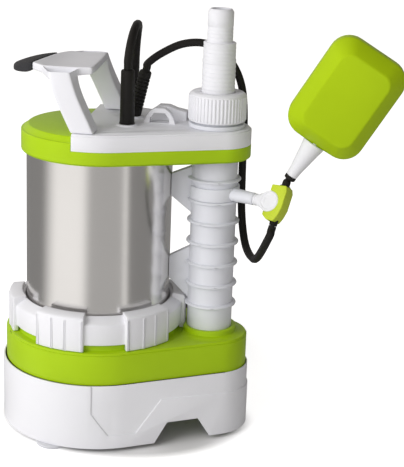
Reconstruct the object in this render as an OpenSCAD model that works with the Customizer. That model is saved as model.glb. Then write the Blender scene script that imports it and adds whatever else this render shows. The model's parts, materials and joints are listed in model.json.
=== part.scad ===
// Submersible sump pump with a float switch held on its discharge pipe.
// Millimetres. +Z up, +X from the motor axis to the discharge pipe.
// The origin is on the floor, under the motor axis.

/* [Base] */
// Radius of the base round the motor axis
base_r = 97; // [92:1:104]
// Radius of the base round the pipe axis
base_end_r = 42.5; // [42:0.5:50]
// Height of the base wall
base_h = 67; // [60:1:76]
// Thickness of the base wall
base_wall = 2.6; // [2.4:0.2:4]
// Depth of the recessed wall panels
panel_depth = 1.2; // [0.6:0.2:1.6]
// Height of a foot under the base
foot_h = 4; // [3:0.5:8]
// Radius of a foot
foot_r = 16; // [12:1:18]
// Height of an intake arch
arch_h = 21; // [14:1:28]
// Width of an intake arch at the floor
arch_w = 60; // [40:1:66]
// Width of an intake arch at its top
arch_top_w = 33; // [20:1:40]

/* [Pump housing] */
// Distance from the motor axis to the pipe axis
pipe_x = 116; // [116:1:124]
// Gap between the base wall and the housing skirt
skirt_gap = 0.8; // [0.6:0.1:2]
// How far the housing skirt reaches into the base
skirt_lap = 5; // [3:1:8]
// Height of the housing top above the base rim
housing_h = 32.5; // [28:0.5:40]
// Wall of the housing
housing_wall = 3; // [2.4:0.2:4]
// Radius of the volute chamber
volute_r = 58; // [54:1:62]
// Height of the volute chamber
volute_h = 24; // [20:1:26]
// Height of the pipe socket above the housing top
socket_h = 7; // [4:1:14]
// Wall of the pipe socket
socket_wall = 5; // [4:0.5:8]

/* [Motor] */
// Outer radius of the motor can
can_r = 73; // [71:0.5:75]
// Sheet thickness of the motor can
can_wall = 1; // [0.8:0.1:1.4]
// Height of the motor can
can_h = 188; // [180:1:200]
// Width of the can's bottom flange
flange_w = 6; // [5:0.5:6.5]
// Outer radius of the stator
stator_r = 54; // [50:1:56]
// Length of the stator
stator_h = 66; // [56:1:80]
// Radius of the rotor
rotor_r = 30; // [26:1:32]
// Air gap between rotor and stator
air_gap = 0.5; // [0.4:0.1:1]
// Diameter of the shaft in the lower bearing
shaft_d = 12; // [10:1:14]
// Diameter of the shaft in the upper bearing
shaft_top_d = 10; // [8:1:10]
// Running clearance of the shaft, on the radius
shaft_fit = 0.04; // [0.02:0.01:0.08]
// Radius of the impeller
impeller_r = 44; // [36:1:50]

/* [Lock ring] */
// Outer radius of the grip blocks
ring_r = 90.5; // [89:0.5:90.5]
// Height of the lock ring
ring_h = 37; // [32:1:44]
// Number of grip blocks
ring_blocks = 6; // [4:1:8]
// Angle of one grip block
block_angle = 33; // [24:1:36]
// Depth of the panels between the blocks
block_step = 3; // [1.5:0.5:4]
// Clearance between the lock ring and fixed pieces
ring_gap = 0.4; // [0.3:0.1:0.8]
// Height of the fine ribs on the grip blocks
ring_rib = 0.4; // [0.2:0.1:0.5]

/* [Top] */
// Radius of the top cover round the motor axis
cover_r = 78.3; // [77:0.1:84]
// Radius of the top cover round the pipe axis
cover_end_r = 34.8; // [34:0.2:42]
// Height of the cover band
band_h = 14; // [12:1:20]
// Height of the hood above the band
hood_h = 12.5; // [9:0.5:13.5]
// Height of the lid
lid_h = 16; // [14:1:20]
// Wall of the cover and the lid
cover_wall = 2.6; // [2:0.2:3.6]
// X of the straight edge between hood and lid
lid_edge_x = -14; // [-20:1:-6]
// X of the two cable entries
entry_x = 30; // [26:1:36]
// Y of the two cable entries, either side of the middle
entry_y = 21; // [18:1:26]

/* [Handle] */
// Height of the handle above the lid
handle_h = 60; // [50:1:75]
// Half of the distance between the legs' outer faces
handle_y = 74; // [68:1:75]
// Depth of a leg from front to back
leg_depth = 26; // [18:1:30]
// Width of a leg
leg_w = 23; // [18:1:28]
// How far a leg leans away from the pipe
leg_lean = 24; // [10:1:30]
// How far the back leg stands nearer to the pipe than the front leg
leg_skew = 11; // [0:1:14]
// Thickness of the crown
crown_t = 9.5; // [8:0.5:14]
// Reach of the palm rest from the motor axis
palm_x = 88; // [70:1:95]
// Half of the width of the palm rest
palm_y = 35; // [25:1:40]

/* [Discharge pipe] */
// Outer radius of the pipe
pipe_r = 22.7; // [21:0.1:22.7]
// Wall of the pipe
pipe_wall = 3.2; // [2.4:0.2:4]
// Radius of a collar on the pipe
collar_r = 26.4; // [25:0.1:28]
// Thickness of a collar
collar_t = 3; // [2:0.5:4]
// Number of collars
collars = 7; // [4:1:7]
// Distance between collars
collar_step = 21.7; // [20:0.1:23]
// Radius of the union nut
nut_r = 28.7; // [28:0.1:31]
// Height of the union nut
nut_h = 28; // [24:1:32]
// Radius of the large hose step
tail_big_r = 16; // [15:0.5:18]
// Radius of the small hose step
tail_small_r = 12.6; // [11:0.1:13]
// Length of the large hose step above the nut
tail_big_l = 48.5; // [40:0.5:60]
// Length of the small hose step
tail_small_l = 32; // [24:1:40]
// Bore of the hose tail
tail_bore = 19; // [14:0.5:20]

/* [Float] */
// Angle of the float arm from +X, towards the front
arm_angle = 30; // [20:1:45]
// Distance from the pipe axis to the end of the arm
arm_l = 49; // [46:1:52]
// Diameter of the arm
arm_d = 12.5; // [12:0.5:14]
// Distance from the pipe axis to the clip's cable axis
clip_reach = 77; // [76:1:84]
// Tilt of the clip in its rest position
clip_tilt = 28; // [0:1:30]
// Lean of the float from the vertical
float_lean = 31; // [25:1:40]
// Length of the float
float_l = 106; // [90:1:116]
// Width of the float
float_w = 80; // [70:1:90]
// Depth of the float
float_d = 46; // [40:1:54]
// Length of the float's neck
neck_l = 39.5; // [30:0.5:44]

/* [Cables] */
// Diameter of the power cable
power_d = 8.4; // [8:0.1:8.6]
// Diameter of the float cable
float_cable_d = 8; // [6.5:0.1:8.2]
// Height of the power cable's strain relief
boot_h = 53; // [40:1:60]
// Length of the float cable's strain relief
float_boot_l = 47; // [35:1:50]
// Turns in each of the coil's four layers
coil_turns = 5; // [4:1:5]
// Outer radius of the coil, to the middle of the cable
coil_r = 98; // [90:1:98]

/* [Hidden] */
big = 0.5;            // overshoot of a cut
seat = 0.3;           // gap between pieces of different bodies
touch = 0.05;         // gap between fitted pieces of one body
thread_fit = 0.02;    // clearance of a screw in its thread, on the radius
white = "#e8e9ee";
lime = "#a6cc1c";
pipe_grey = "#d9dbe2";
black = "#1d1b1a";
steel = "#b8babd";
zinc = "#c9cbce";
copper = "#b8683a";
rubber = "#232323";

// Heights, from the floor up
base_top = foot_h + base_h;
skirt_z = base_top - skirt_lap;
deck_z = base_top + housing_h;
housing_r = base_r - base_wall - skirt_gap;
housing_end_r = base_end_r - base_wall - skirt_gap;
seal_t = 1.5;
seat_z = deck_z - 2;
flange_z = seat_z + seal_t;
flange_t = 1.2;
flange_r = can_r + flange_w;
can_top = flange_z + can_h;
chamber_z = deck_z - 49.5;
chamber_top = chamber_z + volute_h;
carrier_z = chamber_top + 4;
band_z = can_top - 4;
band_top = band_z + band_h;
lid_top = band_top + lid_h;
hood_top = band_top + hood_h;
socket_top = deck_z + socket_h;
ring_path = ring_r + ring_rib + ring_gap;   // what the lock ring sweeps as it turns

// Points of the outline round the motor axis and the pipe axis
function teardrop(r1, r2, d = pipe_x, n1 = 60, n2 = 24) =
  let (a = acos((r1 - r2) / d))
  concat([for (i = [0:n2]) let (t = -a + 2*a*i/n2) [d + r2*cos(t), r2*sin(t)]],
         [for (i = [0:n1]) let (t = a + (360 - 2*a)*i/n1) [r1*cos(t), r1*sin(t)]]);

module drop(r1, r2, z, h) translate([0, 0, z]) linear_extrude(h) polygon(teardrop(r1, r2));

// A ring or disc round the motor axis
module tube(ro, ri, z, h, fn = 96) translate([0, 0, z]) difference() {
  cylinder(r = ro, h = h, $fn = fn);
  translate([0, 0, -big]) cylinder(r = ri, h = h + 2*big, $fn = fn);
}

module at_pipe(z = 0) translate([pipe_x, 0, z]) children();

// ---------------------------------------------------------------- base
boss_r = 8;
screw_r = 2;
boss_reach = base_r - base_wall - boss_r + 1;
end_boss_x = pipe_x + base_end_r - base_wall - boss_r + 1;
boss_at = concat([for (a = [150, 210]) boss_reach*[cos(a), sin(a)]], [[end_boss_x, 0]]);
foot_at = [[-30, -base_r + 17], [-30, base_r - 17], [end_boss_x - foot_r - 5.5, 0]];
head_z = foot_h + 30;

// One trapezoid opening through the wall, looking along +Y
module arch_cut(depth) rotate([90, 0, 0]) translate([0, 0, -big])
  linear_extrude(depth) polygon([[-arch_w/2, -big], [arch_w/2, -big],
    [arch_w/2 - (arch_w - arch_top_w)/2 * 0.1, 2], [arch_top_w/2, arch_h],
    [-arch_top_w/2, arch_h], [-arch_w/2 + (arch_w - arch_top_w)/2 * 0.1, 2]]);

// The straight side runs between the tangent points of the two circles
side_a = acos((base_r - base_end_r) / pipe_x);
side_mid = [(base_r*cos(side_a) + pipe_x + base_end_r*cos(side_a)) / 2,
            -(base_r + base_end_r) * sin(side_a) / 2];
arch_out = 14;        // how far the arch cut starts outside the wall
arch_in = 34;         // how far it reaches
module side_arch() translate([side_mid[0], side_mid[1], foot_h]) rotate([0, 0, 90 - side_a])
  translate([9, -arch_out, 0]) mirror([0, 1, 0]) arch_cut(arch_in);

// Edges of the recessed panel, in X and Z, seen from the front
panel = [[12, base_top + 1], [12, foot_h + 37.5], [28.5, foot_h + 14], [54.5, foot_h + 14],
         [77.5, foot_h + 47], [pipe_x + base_end_r + 5, foot_h + 44],
         [pipe_x + base_end_r + 5, base_top + 1]];
module base_panels() intersection() {
  difference() {
    drop(base_r + 1, base_end_r + 1, foot_h, base_h + 1);
    drop(base_r - panel_depth, base_end_r - panel_depth, foot_h - 1, base_h + 3);
  }
  translate([0, base_r + 5, 0]) rotate([90, 0, 0]) linear_extrude(2*base_r + 10) polygon(panel);
}

module base_strainer() color(white) difference() {
  union() {
    difference() {
      drop(base_r, base_end_r, foot_h, base_h);
      drop(base_r - base_wall, base_end_r - base_wall, foot_h - big, base_h + 2*big);
      base_panels();
      side_arch();
      mirror([0, 1, 0]) side_arch();
      translate([-base_r - arch_out, 0, foot_h]) rotate([0, 0, 90]) arch_cut(arch_in);
    }
    for (p = boss_at) translate([p[0], p[1], foot_h + 10])
      cylinder(r = boss_r, h = skirt_z - foot_h - 10 - touch, $fn = 32);
    for (p = foot_at) intersection() {
      translate([p[0], p[1], foot_h]) cylinder(r = foot_r - 2, h = 9, $fn = 40);
      drop(base_r - 1, base_end_r - 1, foot_h, 9);
    }
    // bar from the end pad to the wall
    translate([foot_at[2][0], -boss_r, foot_h])
      cube([pipe_x + base_end_r - 1 - foot_at[2][0], 2*boss_r, 9]);
  }
  for (p = boss_at) translate([p[0], p[1], 0]) {
    cylinder(r = screw_r + 0.2, h = base_top, $fn = 24);
    cylinder(r = 4.5, h = head_z, $fn = 24);
  }
  for (p = foot_at) translate([p[0], p[1], foot_h - big]) cylinder(r = foot_pin_r + touch, h = 6, $fn = 24);
  at_pipe(bowl_z - 1) cylinder(r = socket_r + seat, h = base_top, $fn = 72);
}

foot_pin_r = 4;
module base_feet() color("#dfe0e4") for (p = foot_at) translate([p[0], p[1], 0]) {
  rotate_extrude($fn = 48) polygon([[0, 0], [foot_r - 1, 0], [foot_r, 1], [foot_r, foot_h - touch],
    [foot_pin_r, foot_h - touch], [foot_pin_r, foot_h + 5], [0, foot_h + 5]]);
}

module screw(l, r = screw_r, head_r = 3.8, head_h = 2.4) difference() {
  rotate_extrude($fn = 24) polygon([[0, 0], [head_r, 0], [head_r, head_h], [r, head_h],
    [r, head_h + l], [0, head_h + l]]);
  for (a = [0, 90]) rotate([0, 0, a]) translate([-2.2, -0.45, -1]) cube([4.4, 0.9, 2.2]);
}

module base_screws() color(zinc)
  for (p = boss_at) translate([p[0], p[1], head_z - 2.4]) screw(skirt_z - head_z + 11);

// ---------------------------------------------------------------- pump housing
bowl_r = volute_r + housing_wall + 8;
bowl_z = chamber_z - 2;
duct_w = 34;
duct_z = chamber_z + 2;
duct_h = volute_h - 4;
socket_bore = pipe_r + touch;
socket_r = pipe_r + socket_wall;
socket_floor = duct_z + duct_h + 3;
shaft_hole_r = 20;
bowl_seat_r = bowl_r - housing_wall;
collar_wall = 4;
seat_r = flange_r + 0.6;
plate_screw_r = volute_r + 4.5;

module pump_housing() color(lime) difference() {
  union() {
    difference() {
      union() {
        drop(housing_r, housing_end_r, skirt_z, deck_z - skirt_z - 2);
        drop(housing_r - 1, housing_end_r - 1, skirt_z, deck_z - skirt_z);
      }
      drop(housing_r - housing_wall, housing_end_r - housing_wall, skirt_z - big,
           deck_z - skirt_z - housing_wall + big);
    }
    for (p = boss_at) translate([p[0], p[1], skirt_z])
      cylinder(r = boss_r - 2.5, h = deck_z - skirt_z - 1, $fn = 32);
    translate([0, 0, bowl_z]) cylinder(r = bowl_r, h = deck_z - bowl_z, $fn = 96);
    translate([0, 0, deck_z - 4]) cylinder(r = seat_r + collar_wall, h = 4 + 6, $fn = 96);
    translate([0, -duct_w/2 - housing_wall, bowl_z])
      cube([pipe_x, duct_w + 2*housing_wall, duct_z + duct_h + 3 - bowl_z]);
    at_pipe(bowl_z) cylinder(r = socket_r, h = socket_top - bowl_z, $fn = 72);
    at_pipe(deck_z - 1) cylinder(r1 = housing_end_r - 3, r2 = socket_r + 1, h = 3, $fn = 72);
  }
  translate([0, 0, seat_z]) cylinder(r = seat_r, h = 20, $fn = 96);
  tube(ring_path, seat_r + collar_wall, deck_z, 30);
  translate([0, 0, carrier_z]) cylinder(r = bowl_seat_r, h = 60, $fn = 96);
  translate([0, 0, bowl_z - big]) cylinder(r = volute_r, h = chamber_top - bowl_z + big, $fn = 96);
  translate([0, 0, bowl_z]) cylinder(r = shaft_hole_r, h = 60, $fn = 48);
  translate([0, -duct_w/2, duct_z]) cube([pipe_x, duct_w, duct_h]);
  at_pipe(duct_z) cylinder(r = duct_w/2, h = 60, $fn = 48);
  at_pipe(socket_floor) cylinder(r = socket_bore, h = 60, $fn = 72);
  for (p = boss_at) translate([p[0], p[1], skirt_z - big])
    cylinder(r = screw_r + thread_fit, h = 14, $fn = 24);
  for (a = [45:90:315]) rotate([0, 0, a]) translate([plate_screw_r, 0, bowl_z - big])
    cylinder(r = screw_r + thread_fit, h = 12, $fn = 24);
}

inlet_r = 22;
plate_t = 4;
module suction_plate() color("#3a3d40") difference() {
  union() {
    tube(bowl_r - 1, inlet_r, bowl_z - touch - plate_t, plate_t);
    tube(inlet_r + 6, inlet_r, bowl_z - touch - plate_t - 5, 5 + plate_t);
  }
  for (a = [45:90:315]) rotate([0, 0, a]) translate([plate_screw_r, 0, bowl_z - 10])
    cylinder(r = screw_r + 0.2, h = 12, $fn = 24);
}

module plate_screws() color(zinc) for (a = [45:90:315]) rotate([0, 0, a])
  translate([plate_screw_r, 0, bowl_z - plate_t - 2.4 - 2*touch]) screw(plate_t + 10);

module housing_seal() color(rubber) tube(flange_r - 0.5, bowl_seat_r + 1, seat_z + 0.02, seal_t - 0.04);

// ---------------------------------------------------------------- motor
hub_r = 24;
bearing_w = 10;
bearing_r = 16;
bearing_z = carrier_z + 20;
seal_seat_r = 13;
carrier_h = 12;
stator_z = carrier_z + 48;
sleeve_wall = 2.4;
sleeve_z = carrier_z + carrier_h;
bracket_z = stator_z + stator_h + 26;
bracket_t = 6;
top_bearing_r = 15;
top_bearing_w = 9;
top_bearing_z = bracket_z + 2;
bolt_r = 2.4;
bolt_at = stator_r + sleeve_wall + bolt_r + 1.2;
shaft_r = shaft_d/2;
shaft_top_r = shaft_top_d/2;

module seal_carrier() color("#9fa3a8") difference() {
  union() {
    translate([0, 0, carrier_z + touch]) cylinder(r = bowl_seat_r - touch, h = carrier_h - touch, $fn = 96);
    translate([0, 0, carrier_z + touch]) cylinder(r = hub_r, h = bearing_z + bearing_w + 0.5 - carrier_z, $fn = 64);
  }
  translate([0, 0, carrier_z - big]) cylinder(r = seal_seat_r, h = bearing_z - carrier_z - 2 + big, $fn = 64);
  translate([0, 0, carrier_z]) cylinder(r = shaft_r + 1.5, h = 60, $fn = 64);
  translate([0, 0, bearing_z]) cylinder(r = bearing_r, h = 60, $fn = 64);
  for (a = [45:90:315]) rotate([0, 0, a]) translate([bolt_at, 0, carrier_z + 2])
    cylinder(r = bolt_r, h = 20, $fn = 24);
}

module shaft_seal() color("#4a3a30")
  tube(seal_seat_r - touch, shaft_r + shaft_fit, carrier_z + 1, bearing_z - carrier_z - 4, 64);

module lower_bearing() color(steel)
  tube(bearing_r - 0.02, shaft_r + shaft_fit, bearing_z + 0.02, bearing_w, 64);

module upper_bearing() color(steel)
  tube(top_bearing_r - 0.02, shaft_top_r + shaft_fit, top_bearing_z + 0.02, top_bearing_w, 64);

module motor_can() color(steel) rotate_extrude($fn = 128) polygon([
  [can_r - can_wall, flange_z], [flange_r, flange_z], [flange_r, flange_z + flange_t],
  [can_r, flange_z + flange_t], [can_r, can_top], [can_r - can_wall, can_top]]);

module motor_sleeve() color("#8d9196")
  tube(stator_r + sleeve_wall, stator_r, sleeve_z + touch, bracket_z - sleeve_z - 2*touch);

module stator_core() color("#6f7276") difference() {
  tube(stator_r - touch, rotor_r + air_gap, stator_z, stator_h);
  for (a = [0:15:345]) rotate([0, 0, a]) translate([rotor_r + 5, -1.6, stator_z - big])
    cube([17, 3.2, stator_h + 2*big]);
}

module stator_windings() color(copper) {
  for (z = [stator_z - 15, stator_z + stator_h])
    tube(rotor_r + 22, rotor_r + 4, z, 15);
  for (a = [0:15:345]) rotate([0, 0, a]) translate([rotor_r + 5.1, -1.5, stator_z - 1])
    cube([16.8, 3, stator_h + 2]);
}

module upper_bracket() color("#9fa3a8") difference() {
  union() {
    translate([0, 0, bracket_z]) cylinder(r = bolt_at + 4, h = bracket_t, $fn = 96);
    translate([0, 0, bracket_z - 4]) cylinder(r = 21, h = top_bearing_w + 8, $fn = 64);
  }
  translate([0, 0, bracket_z - 5]) cylinder(r = shaft_top_r + 2, h = 60, $fn = 48);
  translate([0, 0, top_bearing_z]) cylinder(r = top_bearing_r, h = 60, $fn = 64);
  for (a = [45:90:315]) rotate([0, 0, a]) translate([bolt_at, 0, bracket_z - big])
    cylinder(r = bolt_r + 0.2, h = 20, $fn = 24);
  for (a = [0, 90, 180, 270]) rotate([0, 0, a]) translate([38, 0, bracket_z - big])
    cylinder(r = 5, h = 20, $fn = 32);
  for (p = post_at) translate([p[0], p[1], bracket_z - big]) cylinder(r = screw_r + thread_fit, h = 20, $fn = 24);
}

module bracket_bolts() color(zinc) for (a = [45:90:315]) rotate([0, 0, a])
  translate([bolt_at, 0, carrier_z + 4]) {
    cylinder(r = bolt_r - touch, h = bracket_z + bracket_t - carrier_z - 4 + 1, $fn = 24);
    translate([0, 0, bracket_z + bracket_t - carrier_z - 4 + touch]) cylinder(r = 4.4, h = 3.2, $fn = 6);
  }

cap_r = 16;
cap_at = 44;
cap_z = bracket_z + bracket_t + touch;
module capacitor() color("#c6c8cc") translate([-cap_at, 16, cap_z]) {
  cylinder(r = cap_r, h = 34, $fn = 64);
  for (y = [-4, 4]) translate([0, y, 34]) cylinder(r = 1.2, h = 4, $fn = 16);
}

module terminal_block() color("#e2dfd2") translate([cap_at - 12, -16, cap_z]) difference() {
  cube([18, 32, 12]);
  for (y = [5, 16, 27]) translate([9, y, 4]) cylinder(r = 3, h = 10, $fn = 24);
}

// ---------------------------------------------------------------- top cover and lid
deck_t = 3;
cover_deck = band_top - deck_t;
hood_drop = 5;
cover_bore = can_r + 0.15;
gland_r = 6.8;
post_at = [for (a = [50, 96, 264, 310]) (stator_r + 1)*[cos(a), sin(a)]];

module top_cover() color(lime) difference() {
  union() {
    drop(cover_r - 1.2, cover_end_r - 1.2, band_z, band_h);
    drop(cover_r, cover_end_r, band_z + 1.2, band_h - 1.2);
    intersection() {
      union() {
        drop(cover_r, cover_end_r, band_z + 2, hood_top - band_z - 2 - hood_drop);
        translate([0, 0, hood_top - hood_drop - 1])
          cylinder(r1 = cover_r - 0.6, r2 = cover_r - 7.3, h = hood_drop + 1, $fn = 96);
      }
      translate([-200, -200, 0]) cube([200 + lid_edge_x - touch, 400, 600]);
    }
  }
  translate([0, 0, band_z - big]) cylinder(r = cover_bore, h = can_top - band_z + 1.5 + big, $fn = 96);
  translate([0, 0, band_z - big]) cylinder(r = can_r - 4, h = cover_deck - band_z + big, $fn = 96);
  intersection() {
    translate([0, 0, band_z]) cylinder(r = cover_r - 9, h = hood_top - band_z - deck_t, $fn = 96);
    translate([-200, -200, 0]) cube([200 + lid_edge_x - 3, 400, 600]);
  }
  // hollow between the can and the pipe
  difference() {
    intersection() {
      drop(cover_r - cover_wall, cover_end_r - cover_wall, band_z - big, band_h - deck_t + big);
      translate([52, -100, 0]) cube([200, 200, 600]);
    }
    translate([0, 0, band_z - 1]) cylinder(r = cover_bore + 3, h = band_h, $fn = 96);
    at_pipe(band_z - 1) cylinder(r = pipe_r + 3.5, h = band_h, $fn = 72);
    for (s = [-1, 1]) translate([lid_screw_x, s*lid_screw_y, band_z + 4]) cylinder(r = 7, h = band_h, $fn = 32);
  }
  at_pipe(band_z - big) cylinder(r = pipe_r + touch, h = 60, $fn = 72);
  for (s = [-1, 1]) translate([entry_x, s*entry_y, band_z]) cylinder(r = 5.2, h = 60, $fn = 32);
  for (p = post_at) translate([p[0], p[1], band_z]) cylinder(r = screw_r + 0.2, h = 60, $fn = 24);
  for (s = [-1, 1]) translate([lid_screw_x, s*lid_screw_y, band_z - big]) {
    cylinder(r = screw_r + 0.2, h = 60, $fn = 24);
    cylinder(r = 4.2, h = lid_head_z - band_z + big, $fn = 24);
  }
}

lid_screw_x = 84;
lid_screw_y = 34;
lid_head_z = band_z + 8;
// Long screws from the cover's deck down into the upper bracket
module cover_screws() color(zinc) for (p = post_at)
  translate([p[0], p[1], band_top + touch + 2.4]) mirror([0, 0, 1])
    screw(band_top - bracket_z - 1);

module can_seal() color(rubber)
  tube(can_r + 0.05, can_r - 3.6, can_top + 0.05, 1.4);

lid_gap = 0.1;
eye_x1 = 43;
eye_x2 = 76;
eye_w = 9;
eye_h = 15;
entry_rim = 1.6;
rim_w = 3;
rim_top = lid_top + entry_rim;
hump = [[46, -1], [49, 8], [56, 14], [66, 14], [74, 11], [84, 9], [84, -1]];
hump_y = 14;
hump_w = 14;
module rope_eye() intersection() {
  translate([(eye_x1 + eye_x2)/2, eye_w/2, lid_top - 2]) rotate([90, 0, 0]) difference() {
    linear_extrude(eye_w) polygon([[-(eye_x2 - eye_x1)/2, 0], [(eye_x2 - eye_x1)/2, 0], [13.5, 8],
      [10, eye_h - 1.5], [5, eye_h + 2], [-5, eye_h + 2], [-10, eye_h - 1.5], [-13.5, 8]]);
    translate([0, 2.5, -1]) linear_extrude(eye_w + 2) polygon([[-10, 0], [10, 0], [9.5, 4.5],
      [5.5, 10], [-5.5, 10], [-9.5, 4.5]]);
  }
  translate([0, -50, 0]) cube([200, 100, 600]);
}

module lid() color(white) difference() {
  union() {
    difference() {
      intersection() {
        union() {
          drop(cover_r - 0.2, cover_end_r - 0.2, band_top + touch, lid_h - 1.6);
          drop(cover_r - 1.8, cover_end_r - 1.8, band_top + touch, lid_h - touch);
        }
        translate([lid_edge_x, -200, 0]) cube([400, 400, 600]);
      }
      intersection() {
        drop(cover_r - cover_wall - 0.2, cover_end_r - cover_wall - 0.2, band_top - big, lid_h - cover_wall + big);
        translate([lid_edge_x + cover_wall, -200, 0]) cube([400, 400, 600]);
      }
    }
    rope_eye();
    for (s = [-1, 1]) translate([entry_x, s*entry_y, band_top + 1])
      cylinder(r = gland_r + rim_w, h = lid_h - 1 + entry_rim, $fn = 48);
    at_pipe(band_top + 1) cylinder(r = pipe_r + 3, h = lid_h - 1, $fn = 72);
    for (s = [-1, 1]) translate([lid_screw_x, s*lid_screw_y, band_top + 0.5]) cylinder(r = 5, h = lid_h - 1, $fn = 32);
    // raised block behind the rope eye
    translate([0, hump_y + hump_w, lid_top]) rotate([90, 0, 0]) linear_extrude(hump_w) polygon(hump);
  }
  // slot in front of the raised block, under the rope eye
  translate([(eye_x1 + eye_x2)/2 - 9, -1.5, band_top]) cube([18, 6, lid_h + 0.6]);
  at_pipe(band_top - big) cylinder(r = pipe_r + touch, h = 60, $fn = 72);
  for (s = [-1, 1]) {
    translate([entry_x, s*entry_y, band_top - big]) cylinder(r = gland_r + touch, h = 60, $fn = 48);
    translate([lid_screw_x, s*lid_screw_y, band_top - big]) cylinder(r = screw_r + thread_fit, h = 11, $fn = 24);
  }
  for (p = leg_screw_at) translate([p[0], p[1], band_top]) cylinder(r = screw_r + 0.2, h = 60, $fn = 24);
}

module lid_screws() color(zinc) {
  for (s = [-1, 1]) translate([lid_screw_x, s*lid_screw_y, lid_head_z - 2.4]) screw(band_top - lid_head_z + 9);
  for (p = leg_screw_at) translate([p[0], p[1], lid_top - cover_wall - 2.4 - touch]) screw(cover_wall + 6);
}

// ---------------------------------------------------------------- handle
leg_x = 7.5;          // right edge of the front leg where it stands on the lid
crown_z = lid_top + handle_h - crown_t;
crown_r = 5;          // corner radius of the crown's plan
crown_x = 0.8;        // right edge of the crown between the legs
leg_screw_at = [for (s = [-1, 1], d = [4.5, 14.5])
  [leg_x - d + (s > 0 ? leg_skew : 0), s*(handle_y - 12)]];
// A leaning leg: its foot, its shoulder and its bevelled top, at side s of the middle
module leg(s) translate([s > 0 ? leg_skew : 0, 0, 0]) difference() {
  hull() for (p = [[0, 0, 0], [handle_h - crown_t - 8, 0, 0], [handle_h - 2, 9, 0]])
    translate([leg_x - leg_w - leg_lean*p[0]/(handle_h - crown_t), s > 0 ? handle_y - leg_depth : p[1] - handle_y,
      lid_top + touch + p[0]]) cube([leg_w, leg_depth - p[1], 1]);
  for (q = leg_screw_at) if (q[1]*s > 0) translate([q[0] - (s > 0 ? leg_skew : 0), q[1], lid_top - 1])
    cylinder(r = screw_r + thread_fit, h = 8, $fn = 24);
}

module handle() color("#d5d6dd") {
  for (s = [-1, 1]) leg(s);
  hull() for (s = [-1, 1]) {
    translate([leg_x - leg_lean - crown_r + (s > 0 ? leg_skew : 0), s*(handle_y - 12), crown_z])
      cylinder(r = crown_r, h = crown_t - 1, $fn = 24);
    translate([crown_x - crown_r, s*(handle_y - leg_depth - crown_r), crown_z])
      cylinder(r = crown_r, h = crown_t - 1, $fn = 24);
    translate([leg_x - leg_lean - leg_w + crown_r, s*(handle_y - 18), crown_z])
      cylinder(r = crown_r, h = crown_t, $fn = 24);
    translate([-palm_x + 36, s*(palm_y - 6), crown_z]) cylinder(r = 6, h = crown_t, $fn = 24);
  }
  hull() for (s = [-1, 1]) {
    translate([-palm_x + 44, s*(palm_y - 6), crown_z]) cylinder(r = 6, h = crown_t, $fn = 24);
    translate([-palm_x + tip_l, s*(palm_y - 6) - 3*s, crown_z]) translate([0, -3, 0]) cube([1, 6, crown_t]);
  }
}

tip_l = 24;
module handle_tip() color("#4c4c50") hull() for (s = [-1, 1]) {
  translate([-palm_x + tip_l - 1.05, s*(palm_y - 9) - 3, crown_z - 0.5]) cube([1, 6, crown_t]);
  translate([-palm_x + 12, s*(palm_y - 18), crown_z - 3]) cylinder(r = 9, h = crown_t - 1, $fn = 32);
  translate([-palm_x + 7, s*8, crown_z - 3.5]) cylinder(r = 7, h = crown_t - 4, $fn = 32);
}

// ---------------------------------------------------------------- lock ring
ring_z = deck_z + 0.5;
ring_top = ring_z + ring_h;
ring_in = can_r + 1.3;
clamp_z = flange_z + flange_t + seat;
ring_groove = seat_r + collar_wall + ring_gap;
groove_top = deck_z + 6 + ring_gap;
module ring_band(r, z1, z2, drop_z) polygon([[ring_groove, z1], [r, z1], [r, z2 - drop_z],
  [r - 2, z2 - drop_z + 1.5], [ring_in + 2, z2], [ring_in, z2 - 1.5], [ring_in, clamp_z],
  [seat_r - ring_gap, clamp_z], [seat_r - ring_gap, groove_top], [ring_groove, groove_top]]);

block_back = ring_r - block_step - 2;
module lock_ring() color(white) {
  rotate_extrude($fn = 96) ring_band(ring_r - block_step, ring_z + 6, ring_top - 3.5, 6.5);
  for (i = [0:ring_blocks - 1]) rotate([0, 0, -105 + i*360/ring_blocks]) {
    rotate([0, 0, -block_angle/2]) rotate_extrude(angle = block_angle, $fn = 96) polygon([
      [block_back, ring_z], [ring_r, ring_z], [ring_r, ring_top - 3], [ring_r - 2, ring_top - 1.5],
      [ring_in + 3, ring_top], [ring_in + 3, ring_top - 8], [block_back, ring_top - 12]]);
    for (a = [-block_angle/2 + 1, -4.5, 4.5, block_angle/2 - 1]) rotate([0, 0, a])
      translate([ring_r - 1, -0.7, ring_z + 1]) cube([1 + ring_rib, 1.4, ring_h - 6]);
  }
}

// ---------------------------------------------------------------- discharge pipe
pipe_bottom = socket_floor + 4;
first_collar = lid_top - 53.5;
nut_z = lid_top + 6.5;
nut_top = nut_z + nut_h;
thread_top = nut_z + 17;
thread_r = pipe_r + 2;
web_t = 9;
web_in = can_r + seat;

// A web from the pipe to the can, ending in a shallow saddle
module web(z1, z2, rise, fall) difference() {
  translate([0, web_t/2, 0]) rotate([90, 0, 0]) linear_extrude(web_t) polygon([
    [can_r - 1, z1 + rise], [can_r - 1, z2 - fall], [pipe_x - pipe_r + 4, z2],
    [pipe_x - pipe_r + 4, z1]]);
  cylinder(r = web_in, h = 500, $fn = 96);
}

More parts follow.
